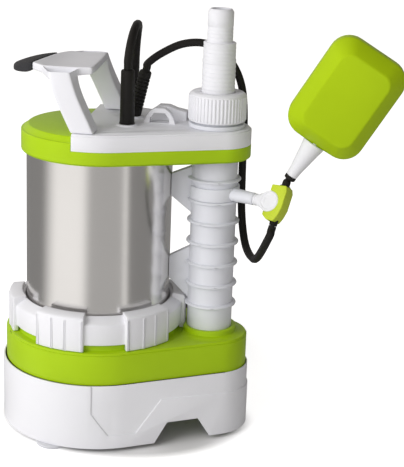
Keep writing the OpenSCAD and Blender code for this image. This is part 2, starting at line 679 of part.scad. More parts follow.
module discharge_pipe() color(pipe_grey) difference() {
  union() {
    at_pipe(pipe_bottom) cylinder(r = pipe_r, h = thread_top - pipe_bottom, $fn = 72);
    for (i = [0:collars - 1]) at_pipe(first_collar - i*collar_step) {
      cylinder(r1 = collar_r - 0.6, r2 = collar_r, h = 1, $fn = 72);
      translate([0, 0, 1]) cylinder(r = collar_r, h = collar_t - 2, $fn = 72);
      translate([0, 0, collar_t - 1]) cylinder(r1 = collar_r, r2 = collar_r - 1.4, h = 1, $fn = 72);
    }
    at_pipe(nut_z + 4) cylinder(r = thread_r, h = thread_top - nut_z - 4, $fn = 72);
    at_pipe(lid_top + touch) cylinder(r = pipe_r + 5, h = 4, $fn = 72);
    web(first_collar - 38, first_collar + 14, 20, 11);
    web(first_collar - 129, first_collar - 69, 25, 14);
  }
  at_pipe(pipe_bottom - big) cylinder(r = pipe_r - pipe_wall, h = 500, $fn = 72);
  translate([0, 0, ring_z]) cylinder(r = ring_path, h = ring_h + ring_gap, $fn = 96);
}

module pipe_seal() color(rubber) at_pipe(0)
  tube(socket_bore - touch, pipe_r - pipe_wall + 0.5, socket_floor + touch, 4 - 2*touch, 72);

nut_wall = 3.4;
flange_tail_z = thread_top + 2;
tail_flange_r = thread_r - 0.5;
module union_nut() color(white) at_pipe(0) difference() {
  union() {
    translate([0, 0, nut_z]) cylinder(r = nut_r - 0.8, h = nut_h - 2, $fn = 96);
    translate([0, 0, nut_z + nut_h - 2]) cylinder(r1 = nut_r - 0.8, r2 = nut_r - 3.5, h = 2, $fn = 96);
    for (a = [0:7.5:352.5]) rotate([0, 0, a]) translate([nut_r - 1.4, -0.9, nut_z + 1.5])
      cube([1.4, 1.8, nut_h - 5]);
  }
  translate([0, 0, nut_z - big]) cylinder(r = thread_r + seat, h = nut_h - 4 + big, $fn = 72);
  translate([0, 0, nut_z]) cylinder(r = tail_big_r + 0.8 + seat, h = 60, $fn = 72);
}

gasket_t = 2;
module tail_gasket() color(rubber) at_pipe(0)
  tube(tail_flange_r - 1, tail_bore/2 + 1, thread_top + touch, gasket_t - 2*touch, 72);

tail_z = nut_top;
tail_mid = tail_z + tail_big_l - 16.5;
tail_step = tail_z + tail_big_l;
tail_top = tail_step + tail_small_l;
module hose_tail() color(white) at_pipe(0) difference() {
  union() {
    translate([0, 0, flange_tail_z]) cylinder(r = tail_flange_r, h = nut_top - 4 - seat - flange_tail_z, $fn = 72);
    translate([0, 0, flange_tail_z]) cylinder(r = tail_big_r + 0.4, h = tail_mid - flange_tail_z, $fn = 72);
    translate([0, 0, flange_tail_z]) cylinder(r = tail_big_r, h = tail_step - flange_tail_z, $fn = 72);
    translate([0, 0, flange_tail_z]) cylinder(r = tail_small_r, h = tail_top - 3 - flange_tail_z, $fn = 72);
    translate([0, 0, tail_top - 3]) cylinder(r1 = tail_small_r, r2 = tail_small_r - 1.8, h = 3, $fn = 72);
  }
  translate([0, 0, flange_tail_z - big]) cylinder(r = tail_bore/2, h = 200, $fn = 64);
  // small undercuts between the barbs
  for (i = [0:4]) translate([0, 0, tail_z + 4 + i*5.4]) tube(tail_big_r + 3, tail_big_r - 0.4, 0, 1.2, 72);
  for (i = [0:2]) translate([0, 0, tail_step + 3 + i*4.6]) tube(tail_small_r + 3, tail_small_r - 0.5, 0, 1.2, 72);
}

// ---------------------------------------------------------------- float arm and clip
ring_clip_h = 13;
arm_z = first_collar - collar_step + collar_t + ring_clip_h/2 + 0.3;
ring_clip_t = 2.6;
ring_clip_r = pipe_r + touch + ring_clip_t;
arm_bore = 4;
pin_l = 9;
module at_arm() translate([pipe_x, 0, arm_z]) rotate([0, 0, -arm_angle]) children();

module float_ring() color(pipe_grey) at_arm() difference() {
  union() {
    difference() {
      translate([0, 0, -ring_clip_h/2]) cylinder(r = ring_clip_r, h = ring_clip_h, $fn = 72);
      rotate([0, 0, 180 - 55]) translate([0, 0, -20]) rotate_extrude(angle = 110, $fn = 48) square([40, 40]);
    }
    hull() {
      translate([pipe_r + 1, -8, -ring_clip_h/2]) cube([1, 16, ring_clip_h]);
      translate([arm_l - 4, 0, 0]) rotate([0, 90, 0]) cylinder(r = arm_d/2, h = 3, $fn = 32);
    }
    translate([arm_l - 8, 0, 0]) rotate([0, 90, 0]) cylinder(r = arm_d/2, h = 8, $fn = 48);
  }
  translate([0, 0, -20]) cylinder(r = pipe_r + touch, h = 40, $fn = 72);
  translate([arm_l - pin_l - 0.5, 0, 0]) rotate([0, 90, 0]) cylinder(r = arm_bore, h = 20, $fn = 32);
}

fan_t = 4;
fan_r = 10.5;
fan_back = 8.5;       // from the clip's middle back to the fan's middle
clip_w = 16;
clip_h = 36;
clip_t = 14;
cable_y = 1.4;        // the cable lies a little behind the clip's middle
fan_x = clip_reach - fan_back;
hub_x = fan_x - fan_r + 2;
module at_clip() at_arm() rotate([-clip_tilt, 0, 0]) translate([clip_reach, 0, 0]) children();

module swivel_plug() color(white) at_arm() {
  translate([arm_l - pin_l, 0, 0]) rotate([0, 90, 0]) cylinder(r = arm_bore - shaft_fit, h = pin_l + 2, $fn = 32);
  translate([arm_l + seat, 0, 0]) rotate([0, 90, 0]) cylinder(r = arm_d/2 - 0.3, h = 3, $fn = 48);
  rotate([-clip_tilt, 0, 0]) {
    hull() {
      translate([arm_l + seat + 1, 0, 0]) rotate([0, 90, 0]) cylinder(r = arm_d/2 - 0.6, h = 1, $fn = 32);
      translate([hub_x, -clip_t/2, -fan_r + 2]) cube([2, fan_t - touch, 2*fan_r - 4]);
    }
    translate([fan_x, -clip_t/2 + fan_t - touch, 0]) rotate([90, 0, 0])
      cylinder(r = fan_r, h = fan_t - touch, $fn = 48);
  }
}

clip_outline = [[-clip_w/2 - 2, clip_h/2 - 1], [clip_w/2 - 2, clip_h/2], [clip_w/2, clip_h/2 - 5],
  [clip_w/2, -4], [clip_w/2 - 2, -12], [clip_w/2 - 5, -clip_h/2], [-5, -clip_h/2],
  [-clip_w/2 - 3, -clip_h/2 + 4], [-clip_w/2 - 3, -clip_h/2 + 7.5], [-clip_w/2 + 1, -fan_r + 2],
  [-clip_w/2 + 1, fan_r - 1], [-clip_w/2 - 2, clip_h/2 - 7]];
cable_hole = float_cable_d/2 + touch;
module cable_clip() color(lime) at_clip() difference() {
  translate([0, clip_t/2, 0]) rotate([90, 0, 0]) linear_extrude(clip_t) polygon(clip_outline);
  translate([-fan_back, -clip_t/2 + fan_t, 0]) rotate([90, 0, 0]) cylinder(r = fan_r + touch, h = 20, $fn = 48);
  translate([0, cable_y, -30]) cylinder(r = cable_hole, h = 60, $fn = 40);
  translate([0, cable_y, clip_h/2 - 3]) cylinder(r = 5.4, h = 10, $fn = 40);
}

pivot_h = clip_h/2 + 5;
module clip_cable() color(black) at_clip() translate([0, cable_y, 0]) {
  translate([0, 0, -clip_h/2 - 3]) cylinder(r = float_cable_d/2, h = pivot_h + clip_h/2 + 3, $fn = 40);
  translate([0, 0, pivot_h]) sphere(r = float_cable_d/2, $fn = 40);
  translate([0, 0, clip_h/2 - 3 + touch]) cylinder(r = 5.3, h = 4, $fn = 40);
}

// The float swings about the point where its cable leaves the clip
clip_dir = [sin(clip_tilt)*sin(arm_angle), sin(clip_tilt)*cos(arm_angle), cos(clip_tilt)];
clip_side = [-sin(arm_angle)*cos(clip_tilt), -cos(arm_angle)*cos(clip_tilt), sin(clip_tilt)];
pivot = [pipe_x + clip_reach*cos(arm_angle), -clip_reach*sin(arm_angle), arm_z]
        + pivot_h*clip_dir - cable_y*clip_side;
module at_float() translate(pivot) rotate([0, float_lean, 0]) children();

collar_z = float_cable_d/2 + seat;
neck_z = collar_z + 4;
body_z = neck_z + neck_l;
neck_r1 = 5.4;
neck_r2 = 11;
module float_collar() color(black) at_float() translate([0, 0, collar_z])
  cylinder(r = neck_r1 + 0.3, h = 4 - touch, $fn = 40);

module float_neck() color(white) at_float() difference() {
  union() {
    translate([0, 0, neck_z]) cylinder(r1 = neck_r1, r2 = neck_r2, h = neck_l - 2, $fn = 48);
    translate([0, 0, neck_z + neck_l - 2]) cylinder(r = neck_r2, h = 2, $fn = 48);
    translate([0, 0, body_z - 1]) cylinder(r = neck_bore, h = 9, $fn = 48);
  }
  translate([0, 0, neck_z - big]) cylinder(r = float_cable_d/2, h = 80, $fn = 32);
}

neck_bore = 8;
shell_wall = 2.4;
bevel = 13;
// Outline of one shell, rounded at its corners, at a given inset
module float_plan(inset, r) hull() for (x = [-1, 1], z = [-1, 1])
  translate([x*(float_w/2 - inset - r), z*(float_l/2 - inset - r), 0]) circle(r = r, $fn = 32);

// A bevelled half, its parting face on Y = 0 and its broad face towards -Y
module half_solid(inset = 0) rotate([90, 0, 0]) hull() {
  linear_extrude(8) float_plan(inset, 20 - inset);
  linear_extrude(float_d/2 - inset) float_plan(bevel + inset, 12);
}

module float_half(sign) at_float() translate([0, 0, body_z + float_l/2]) mirror([0, sign > 0 ? 1 : 0, 0])
  difference() {
    translate([0, -touch/2, 0]) half_solid(0);
    translate([0, big, 0]) half_solid(shell_wall);
    translate([0, 0, -float_l/2 - 5]) cylinder(r = neck_bore + touch, h = 15, $fn = 48);
  }
module float_shell_front() color(lime) float_half(-1);
module float_shell_back() color("#9cc21a") float_half(1);

switch_z = body_z + 8;
module float_switch() color("#3b3b40") at_float() difference() {
  translate([-13, -11, switch_z + touch]) cube([26, 22, 46]);
  translate([0, 0, switch_z + 22]) cylinder(r = 8.4, h = 21, $fn = 40);
}
module switch_ball() color(steel) at_float() translate([0, 0, switch_z + 22 + 8.1]) sphere(r = 8, $fn = 40);

// ---------------------------------------------------------------- cables
function unit(v) = v / norm(v);
function bez(a, b, c, d, t) = let (u = 1 - t) u*u*u*a + 3*u*u*t*b + 3*u*t*t*c + t*t*t*d;
// Smooth curve through the points: Catmull-Rom, with n steps from one point to the next
function smooth(p, n) = let (m = len(p) - 1) concat([for (i = [0:m - 1], j = [0:n - 1])
  let (a = p[max(i - 1, 0)], b = p[i], c = p[i + 1], d = p[min(i + 2, m)], t = j/n)
  0.5*((2*b) + (c - a)*t + (2*a - 5*b + 4*c - d)*t*t + (3*b - a - 3*c + d)*t*t*t)], [p[m]]);
function along(p, i) = unit(p[min(i + 1, len(p) - 1)] - p[max(i - 1, 0)]);
// Frames carried along the path without twist
function frames(p, i = 0, u = undef, acc = []) = i >= len(p) ? acc :
  let (t = along(p, i),
       s = i == 0 ? (abs(t[2]) < 0.9 ? [0, 0, 1] : [0, 1, 0]) : u,
       v = unit(s - (s*t)*t))
  frames(p, i + 1, v, concat(acc, [v]));
module sweep(p, r, n) {
  f = frames(p);
  m = len(p);
  pts = [for (i = [0:m - 1]) let (t = along(p, i), u = f[i], w = cross(t, u))
    for (k = [0:n - 1]) p[i] + r*(cos(360*k/n)*u + sin(360*k/n)*w)];
  faces = concat(
    [[for (k = [0:n - 1]) k]], [[for (k = [n - 1:-1:0]) (m - 1)*n + k]],
    [for (i = [0:m - 2], k = [0:n - 1]) let (a = i*n + k, b = i*n + (k + 1) % n) [a, a + n, b]],
    [for (i = [0:m - 2], k = [0:n - 1]) let (a = i*n + k, b = i*n + (k + 1) % n) [b, a + n, b + n]]);
  polyhedron(pts, faces);
}

float_gland_lean = 14;
float_gland_dir = [sin(float_gland_lean), 0, cos(float_gland_lean)];
gland_flange = 0.8;   // how far a strain relief's flange reaches over its hole
module float_gland() color(black) translate([entry_x, entry_y, rim_top + touch]) {
  translate([0, 0, -lid_h - entry_rim + 1]) cylinder(r = gland_r, h = lid_h + entry_rim, $fn = 40);
  cylinder(r = gland_r + gland_flange, h = 1.6, $fn = 40);
  hull() {
    cylinder(r = gland_r, h = 4, $fn = 32);
    rotate([0, float_gland_lean, 0]) translate([0, 0, float_boot_l - 1]) cylinder(r = gland_r - 0.9, h = 1, $fn = 32);
  }
}

module power_gland() color(black) translate([entry_x, -entry_y, rim_top + touch]) {
  translate([0, 0, -lid_h - entry_rim + 1]) cylinder(r = gland_r, h = lid_h + entry_rim, $fn = 40);
  cylinder(r = gland_r + gland_flange, h = 1.6, $fn = 40);
  cylinder(r1 = gland_r + 0.4, r2 = gland_r, h = boot_h, $fn = 40);
}

float_start = [entry_x, entry_y, rim_top + touch] + float_boot_l*float_gland_dir;
clip_end = [pipe_x + clip_reach*cos(arm_angle), -clip_reach*sin(arm_angle), arm_z]
           - (clip_h/2 + 3)*clip_dir - cable_y*clip_side;
float_route = concat([for (d = [touch, 4, 8]) float_start + d*float_gland_dir],
  [[56, 22, 382], [76, 24, 392], [97, 26, 394], [115, 27, 387], [129, 29, 371], [137, 32, 350],
   [140, 34, 322], [140.5, 34, 290], [141, 32, 260], [142, 27, 232], [145, 17, 210], [150, 2, 195],
   [157, -14, 189], [164, -28, 193]],
  [clip_end - 12*clip_dir, clip_end - 6*clip_dir, clip_end - 0.9*clip_dir]);
module float_cable() color(black) sweep(smooth(float_route, 4), float_cable_d/2, 8);

power_start = [entry_x, -entry_y, rim_top + touch + boot_h];
coil_at = [25, 205];
layer_step = power_d + 0.7;
tie_t = 1.2;
tie_w = 4.8;
coil_z = power_d/2 + tie_t;
coil_exit = [coil_at[0] - coil_r, coil_at[1], coil_z + 3*layer_step];
power_route = concat([for (d = [touch, 5, 10]) power_start + [0, 0, d]],
  [[31.3, -18.2, 394.3], [32.5, -10.3, 404.6], [33.3, 1.2, 410.6], [33.3, 14.2, 411.2],
   [32.3, 24, 407.6], [30.5, 32, 400.9], [28.3, 41, 389.7], [26, 52, 376], [24, 64, 361],
   [22, 77, 344.5], [21, 88, 310], [19, 95, 270], [12, 100, 228], [0, 104, 185], [-18, 109, 143], [-38, 117, 104],
   [-56, 129, 72], [-68, 145, 50]],
  [coil_exit + [-0.5, -40, 5], coil_exit + [0, -28, 0.8], coil_exit + [0, -16, 0],
   coil_exit + [0, -12, 0], coil_exit + [0, -power_d - touch, 0]]);
module power_cable_run() color(black) sweep(smooth(power_route, 3), power_d/2, 8);

// Four layers that wind in, out, in and out, climbing in the half turn where they reverse
total_turns = 4*coil_turns;
function coil_radius(t) = let (k = floor(t/coil_turns), f = t/coil_turns - k)
  coil_r - layer_step*coil_turns*(k % 2 == 0 ? f : 1 - f);
function climb(x) = x < -0.25 ? 0 : x > 0.25 ? 1 : 0.5 + 0.5*sin(360*x);
function coil_height(t) = coil_z + layer_step*(climb(t - coil_turns) + climb(t - 2*coil_turns)
  + climb(t - 3*coil_turns));
function coil_point(t) = [coil_at[0] + coil_radius(t)*cos(180 + 360*t),
  coil_at[1] + coil_radius(t)*sin(180 + 360*t), coil_height(t)];
rings_per_turn = 24;
coil_path = concat([coil_point(0) + [0, power_d, 0]],
  [for (i = [0:total_turns*rings_per_turn]) coil_point(i/rings_per_turn)],
  [coil_point(total_turns) - [0, power_d, 0]]);
// Least distance between points of turns that lie next to each other, less one diameter
coil_gap = min([for (i = [0:total_turns*rings_per_turn], k = [rings_per_turn - 2:2*rings_per_turn + 2])
  if (i + k <= total_turns*rings_per_turn)
    norm(coil_point(i/rings_per_turn) - coil_point((i + k)/rings_per_turn))]) - power_d;
module power_cable_coil() color(black) {
  echo(coil_gap = coil_gap);
  sweep(coil_path, power_d/2, 6);
}

// Two ties round the whole bundle, each with its lock on the outside
tie_in = coil_r - coil_turns*layer_step - power_d/2 - seat;
tie_out = coil_r + power_d/2 + seat;
tie_top = coil_z + 3*layer_step + power_d/2;
tie_lock = 7;
module cable_ties() color("#191919") for (a = [35, 285]) translate([coil_at[0], coil_at[1], 0]) rotate([0, 0, a]) {
  difference() {
    translate([tie_in - tie_t, -tie_w/2, 0]) cube([tie_out - tie_in + 2*tie_t, tie_w, tie_top + touch + tie_t]);
    translate([tie_in, -tie_w, tie_t - touch]) cube([tie_out - tie_in, 2*tie_w, tie_top + 2*touch - tie_t]);
  }
  translate([tie_out + tie_t/2, -tie_lock/2, tie_top/2]) cube([tie_lock - 2, tie_lock, tie_lock]);
}

plug_run = 78;
plug_at = coil_point(0) + [0, plug_run, 0];
plug_r = 17;
module power_plug() color(black) {
  sweep([coil_point(0) + [0, power_d + touch, 0], coil_point(0) + [0, 30, 0],
         coil_point(0) + [0, 50, 2], plug_at + [0, -12, 7], plug_at + [0, 1, plug_r - coil_z]], power_d/2, 8);
  translate([plug_at[0], plug_at[1], plug_r]) rotate([-90, 0, 0]) {
    cylinder(r1 = 7, r2 = 12, h = 14, $fn = 32);
    translate([0, 0, 13]) cylinder(r1 = 14, r2 = plug_r, h = 8, $fn = 48);
    translate([0, 0, 21]) cylinder(r = plug_r, h = 16, $fn = 48);
  }
}
module plug_pins() color(zinc) translate([plug_at[0], plug_at[1] + 37, plug_r]) rotate([-90, 0, 0])
  for (x = [-9.5, 9.5]) translate([x, 0, touch]) {
    cylinder(r = 2.4, h = 18, $fn = 24);
    translate([0, 0, 18]) sphere(r = 2.4, $fn = 24);
  }

// ---------------------------------------------------------------- rotor
rotor_top = stator_z + stator_h + 2;
shaft_bottom = chamber_z - 2;
module motor_shaft() color(steel) rotate_extrude($fn = 64) polygon([
  [0, shaft_bottom], [4, shaft_bottom], [4, chamber_z + 8], [shaft_r, chamber_z + 8],
  [shaft_r, stator_z - 6], [shaft_r + 1.5, stator_z - 6], [shaft_r + 1.5, rotor_top + 6],
  [shaft_top_r, rotor_top + 6], [shaft_top_r, top_bearing_z + top_bearing_w + 2],
  [0, top_bearing_z + top_bearing_w + 2]]);

module rotor_core() color("#77797d") {
  tube(rotor_r, shaft_r + 1.5 + touch, stator_z - 2, stator_h + 4);
  for (z = [stator_z - 5 - touch, stator_z + stator_h + 2 + touch]) tube(rotor_r - 3, rotor_r - 12, z, 3);
}

blade_h = 10;
module impeller() color("#2f3234") {
  difference() {
    union() {
      translate([0, 0, chamber_z + 15]) cylinder(r = impeller_r, h = 3, $fn = 72);
      translate([0, 0, chamber_z + 5]) cylinder(r = 9, h = 14, $fn = 48);
      for (a = [0:72:288]) rotate([0, 0, a]) translate([0, 0, chamber_z + 16 - blade_h]) linear_extrude(blade_h)
        polygon([for (i = [0:8]) let (r = 8 + (impeller_r - 9)*i/8) [r*cos(9*i), r*sin(9*i)],
                 for (i = [8:-1:0]) let (r = 8 + (impeller_r - 9)*i/8) [r*cos(9*i + 5), r*sin(9*i + 5)]]);
    }
    translate([0, 0, chamber_z]) cylinder(r = 4 + touch, h = 8, $fn = 48);
    translate([0, 0, chamber_z + 8 - touch]) cylinder(r = shaft_r + touch, h = 20, $fn = 48);
  }
}

module impeller_nut() color(zinc) translate([0, 0, chamber_z + 5 - 5.5 - touch]) difference() {
  cylinder(r = 7.5, h = 5.5, $fn = 6);
  translate([0, 0, -1]) cylinder(r = 4 + touch, h = 10, $fn = 40);
}

base_strainer();
base_feet();
base_screws();
suction_plate();
plate_screws();
pump_housing();
housing_seal();
seal_carrier();
shaft_seal();
lower_bearing();
motor_can();
motor_sleeve();
stator_core();
stator_windings();
upper_bracket();
upper_bearing();
bracket_bolts();
capacitor();
terminal_block();
can_seal();
top_cover();
cover_screws();
lid();
lid_screws();
handle();
handle_tip();
lock_ring();
discharge_pipe();
pipe_seal();
union_nut();
tail_gasket();
hose_tail();
float_ring();
swivel_plug();
cable_clip();
clip_cable();
float_collar();
float_neck();
float_shell_front();
float_shell_back();
float_switch();
switch_ball();
float_gland();
float_cable();
power_gland();
power_cable_run();
power_cable_coil();
cable_ties();
power_plug();
plug_pins();
rotor_core();
motor_shaft();
impeller();
impeller_nut();
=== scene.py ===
# %% [markdown]
# # A submersible sump pump
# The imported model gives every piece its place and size. This script adds the cables, the
# rounded edges of the mouldings, the finishes and the light. Lengths are in metres.

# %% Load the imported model
import json
import math
import bpy
from mathutils import Matrix, Vector


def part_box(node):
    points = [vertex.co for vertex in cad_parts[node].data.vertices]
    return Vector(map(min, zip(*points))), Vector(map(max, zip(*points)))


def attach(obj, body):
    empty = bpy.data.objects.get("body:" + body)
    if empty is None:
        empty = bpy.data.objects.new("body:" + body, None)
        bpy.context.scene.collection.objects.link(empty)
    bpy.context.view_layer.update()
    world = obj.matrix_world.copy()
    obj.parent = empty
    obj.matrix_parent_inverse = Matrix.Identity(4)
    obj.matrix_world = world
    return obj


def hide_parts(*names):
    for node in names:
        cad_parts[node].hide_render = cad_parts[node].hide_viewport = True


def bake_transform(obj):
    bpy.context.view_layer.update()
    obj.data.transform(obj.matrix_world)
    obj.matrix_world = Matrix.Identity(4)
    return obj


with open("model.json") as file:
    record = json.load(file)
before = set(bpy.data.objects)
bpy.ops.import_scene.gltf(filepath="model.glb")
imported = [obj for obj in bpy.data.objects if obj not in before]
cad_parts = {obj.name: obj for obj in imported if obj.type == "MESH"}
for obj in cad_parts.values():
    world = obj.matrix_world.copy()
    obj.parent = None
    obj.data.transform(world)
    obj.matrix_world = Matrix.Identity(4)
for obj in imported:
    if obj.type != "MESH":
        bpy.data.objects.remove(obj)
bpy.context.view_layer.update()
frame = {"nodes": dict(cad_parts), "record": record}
nodes = frame["nodes"]
body_of = {node: body for body, names in frame["record"]["behaviour"]["bodies"].items()
           for node in names}
slot_of = {part["node"]: part["material_slot"] for part in frame["record"]["subparts"]}

# %% [markdown]
# ## Camera
# A long lens from a little above the lid keeps the upright lines nearly parallel, as in a
# product picture. The camera leans about two degrees, so its axes are worked out one by one:
# one points back from the pump to the lens, one to the right, and one up.

# %% Camera
VIEW_ANGLE = math.radians(5.7)
VIEW_HEIGHT = math.radians(16.78)
VIEW_LEAN = math.radians(2.14)
VIEW_DISTANCE = 1.331
VIEW_TARGET = Vector((0.1054, 0, 0.2056))
PICTURE_H = 467
LENS_PIXELS = 1318.5

back = Vector((math.sin(VIEW_ANGLE)*math.cos(VIEW_HEIGHT),
               -math.cos(VIEW_ANGLE)*math.cos(VIEW_HEIGHT), math.sin(VIEW_HEIGHT)))
level = Vector((math.cos(VIEW_ANGLE), math.sin(VIEW_ANGLE), 0))
upright = back.cross(level)
right = math.cos(VIEW_LEAN)*level + math.sin(VIEW_LEAN)*upright
up = back.cross(right)

camera_data = bpy.data.cameras.new("camera")
camera_data.sensor_fit = "VERTICAL"
camera_data.sensor_height = 36
camera_data.lens = LENS_PIXELS/PICTURE_H*camera_data.sensor_height
camera = bpy.data.objects.new("camera", camera_data)
bpy.context.scene.collection.objects.link(camera)
camera_axes = Matrix((right, up, back)).transposed().to_4x4()
camera.matrix_world = Matrix.Translation(VIEW_TARGET + VIEW_DISTANCE*back) @ camera_axes
bpy.context.scene.camera = camera
print("lens", round(camera_data.lens, 2), "mm")

# %% [markdown]
# ## Finishes
# Moulded plastic isn't one flat colour: its pigment drifts a little over a hand's width, and
# its skin has a fine grain that breaks up the gloss. A picture wrapped round each piece could
# show that, but noise on the piece's own coordinates needs no unwrapping and has no seam.
# Every finish below is two noises: a slow one for colour and gloss, and a fine one for grain.

# %% A finish from two noises
WHITE = (1, 1, 1, 1)
GRAIN_DEPTH = 0.0004
COAT_ROUGH = 0.25


def tint(color, factor):
    """The colour made lighter or darker by a factor."""
    return tuple(min(1.0, c*factor) for c in color[:3]) + (1,)


def noise(nodes_, links, coords, scale, detail=2.0, stretch=(1, 1, 1)):
    """Noise on the piece's own coordinates; scale is in bumps per metre."""
    mapping = nodes_.new("ShaderNodeMapping")
    mapping.inputs["Scale"].default_value = stretch
    links.new(coords.outputs["Object"], mapping.inputs["Vector"])
    texture = nodes_.new("ShaderNodeTexNoise")
    texture.inputs["Scale"].default_value = scale
    texture.inputs["Detail"].default_value = detail
    links.new(mapping.outputs["Vector"], texture.inputs["Vector"])
    return texture.outputs["Fac"]


def spread(nodes_, links, fac, low, high):
    """The middle of a noise, stretched to run from low to high."""
    span = nodes_.new("ShaderNodeMapRange")
    span.inputs["From Min"].default_value = 0.3
    span.inputs["From Max"].default_value = 0.7
    span.inputs["To Min"].default_value = low
    span.inputs["To Max"].default_value = high
    links.new(fac, span.inputs["Value"])
    return span.outputs["Result"]


def finish(name, color, rough, grain=0.06, grain_scale=1400, drift=0.05, drift_scale=14,
           metal=0.0, stretch=(1, 1, 1), coat=0.0, gloss=0.5):
    """A material whose colour and gloss drift slowly and whose skin has a fine grain."""
    material = bpy.data.materials.new(name)
    material.use_nodes = True
    nodes_, links = material.node_tree.nodes, material.node_tree.links
    shader = nodes_["Principled BSDF"]
    coords = nodes_.new("ShaderNodeTexCoord")
    slow = noise(nodes_, links, coords, drift_scale, 3.0)
    fine = noise(nodes_, links, coords, grain_scale, 2.0, stretch)
    blend = nodes_.new("ShaderNodeMix")
    blend.data_type = "RGBA"
    blend.inputs["A"].default_value = tint(color, 1 - drift)
    blend.inputs["B"].default_value = tint(color, 1 + drift)
    links.new(spread(nodes_, links, slow, 0.0, 1.0), blend.inputs["Factor"])
    links.new(blend.outputs["Result"], shader.inputs["Base Color"])
    links.new(spread(nodes_, links, fine, rough*0.85, rough*1.15), shader.inputs["Roughness"])
    bump = nodes_.new("ShaderNodeBump")
    bump.inputs["Strength"].default_value = grain
    bump.inputs["Distance"].default_value = GRAIN_DEPTH
    links.new(fine, bump.inputs["Height"])
    links.new(bump.outputs["Normal"], shader.inputs["Normal"])
    shader.inputs["Metallic"].default_value = metal
    shader.inputs["Specular IOR Level"].default_value = gloss
    shader.inputs["Coat Weight"].default_value = coat
    shader.inputs["Coat Roughness"].default_value = COAT_ROUGH
    return material


finishes = {
    "white_shell": finish("white_shell", (0.83, 0.835, 0.875), 0.42, 0.05, 1500, 0.02),
    "lime_shell": finish("lime_shell", (0.40, 0.61, 0.006), 0.36, 0.05, 1300, 0.05, gloss=0.25),
    "lime_float": finish("lime_float", (0.41, 0.585, 0.003), 0.40, 0.04, 900, 0.05, gloss=0.2),
    "lime_clip": finish("lime_clip", (0.54, 0.66, 0.03), 0.30, 0.04, 1300, 0.06),
    "pipe_plastic": finish("pipe_plastic", (0.76, 0.775, 0.83), 0.38, 0.04, 1200, 0.02),
    "handle_plastic": finish("handle_plastic", (0.84, 0.845, 0.89), 0.40, 0.06, 1500, 0.02),
    "foot_pads": finish("foot_pads", (0.66, 0.67, 0.71), 0.60, 0.12, 1800, 0.04),
    "soft_grip": finish("soft_grip", (0.034, 0.034, 0.038), 0.66, 0.20, 1700, 0.15, gloss=0.35),
    "black_rubber": finish("black_rubber", (0.018, 0.017, 0.016), 0.65, 0.15, 1500, 0.2),
    "seal_rubber": finish("seal_rubber", (0.06, 0.045, 0.035), 0.60, 0.15, 1500, 0.2),
    "cable_rubber": finish("cable_rubber", (0.008, 0.007, 0.006), 0.46, 0.12, 1100, 0.25, gloss=0.3),
    "dark_plastic": finish("dark_plastic", (0.05, 0.05, 0.06), 0.50, 0.10, 1300, 0.1),
    "terminal_plastic": finish("terminal_plastic", (0.74, 0.72, 0.63), 0.50, 0.08, 1300, 0.04),
    "bearing_steel": finish("bearing_steel", (0.60, 0.60, 0.61), 0.22, 0.03, 900, 0.03, 14, 1.0),
    "zinc_screws": finish("zinc_screws", (0.66, 0.67, 0.69), 0.34, 0.06, 1200, 0.06, 60, 1.0),
    "cast_alloy": finish("cast_alloy", (0.50, 0.51, 0.53), 0.55, 0.35, 700, 0.06, 30, 1.0),
    "capacitor_case": finish("capacitor_case", (0.66, 0.67, 0.69), 0.35, 0.05, 800, 0.03, 14, 1.0),
    "plug_brass": finish("plug_brass", (0.72, 0.70, 0.62), 0.25, 0.04, 900, 0.04, 40, 1.0),
}
print("finishes", len(finishes))

# %% [markdown]
# ## Steel, laminations and copper
# The can is rolled sheet, ground along its length of travel, so its fine lines run round it:
# the noise is drawn out in X and Y and tight in Z. Stator laminations are stamped sheets on
# top of each other, and the winding is wire: both are bands, tight in Z.

# %% Sheet steel, stacked sheets and wire
finishes["can_steel"] = finish(
    "can_steel", (0.80, 0.785, 0.77), 0.20, grain=0.05, grain_scale=60, drift=0.02,
    drift_scale=9, metal=1.0, stretch=(1, 1, 60))
finishes["lamination_steel"] = finish(
    "lamination_steel", (0.28, 0.28, 0.29), 0.5, grain=0.5, grain_scale=20, drift=0.08,
    drift_scale=20, metal=1.0, stretch=(1, 1, 90))
finishes["copper_wire"] = finish(
    "copper_wire", (0.55, 0.22, 0.10), 0.30, grain=0.6, grain_scale=20, drift=0.12,
    drift_scale=40, metal=1.0, stretch=(1, 1, 60), coat=0.6)

for node, thing in nodes.items():
    thing.data.materials.clear()
    thing.data.materials.append(finishes[slot_of[node]])
print("finishes", len(finishes), "on", len(nodes), "nodes")

# %% [markdown]
# ## The float's cable
# The float hangs on its own cable. It leaves the lid through a leaning strain relief, arches
# behind the hose tail, drops beside the pipe and turns up into the clip. A cable is a tube on a
# centre line, so it is drawn as one open curve through the same points as the solid. The curve
# is then made a mesh.

# %% Helpers for cables
def between(points, steps):
    """Catmull-Rom curve through the points, with that many steps from one to the next."""
    line = []
    last = len(points) - 1
    for i in range(last):
        a, b, c, d = (points[max(i - 1, 0)], points[i], points[i + 1], points[min(i + 2, last)])
        for j in range(steps):
            t = j/steps
            line.append(0.5*(2*b + (c - a)*t + (2*a - 5*b + 4*c - d)*t*t + (3*b - a - 3*c + d)*t**3))
    return line + [points[last]]


def run_length(line):
    """The length of a line of points."""
    return sum((b - a).length for a, b in zip(line, line[1:]))


def cable(name, line, diameter):
    """A round cable along the line, as a curve with a round section."""
    data = bpy.data.curves.new(name, "CURVE")
    data.dimensions = "3D"
    spline = data.splines.new("POLY")
    spline.points.add(len(line) - 1)
    for point, place in zip(spline.points, line):
        point.co = (*place, 1)
    data.bevel_depth = diameter/2
    data.bevel_resolution = 3
    data.use_fill_caps = True
    thing = bpy.data.objects.new(name, data)
    bpy.context.scene.collection.objects.link(thing)
    thing.data.materials.append(finishes["cable_rubber"])
    return thing


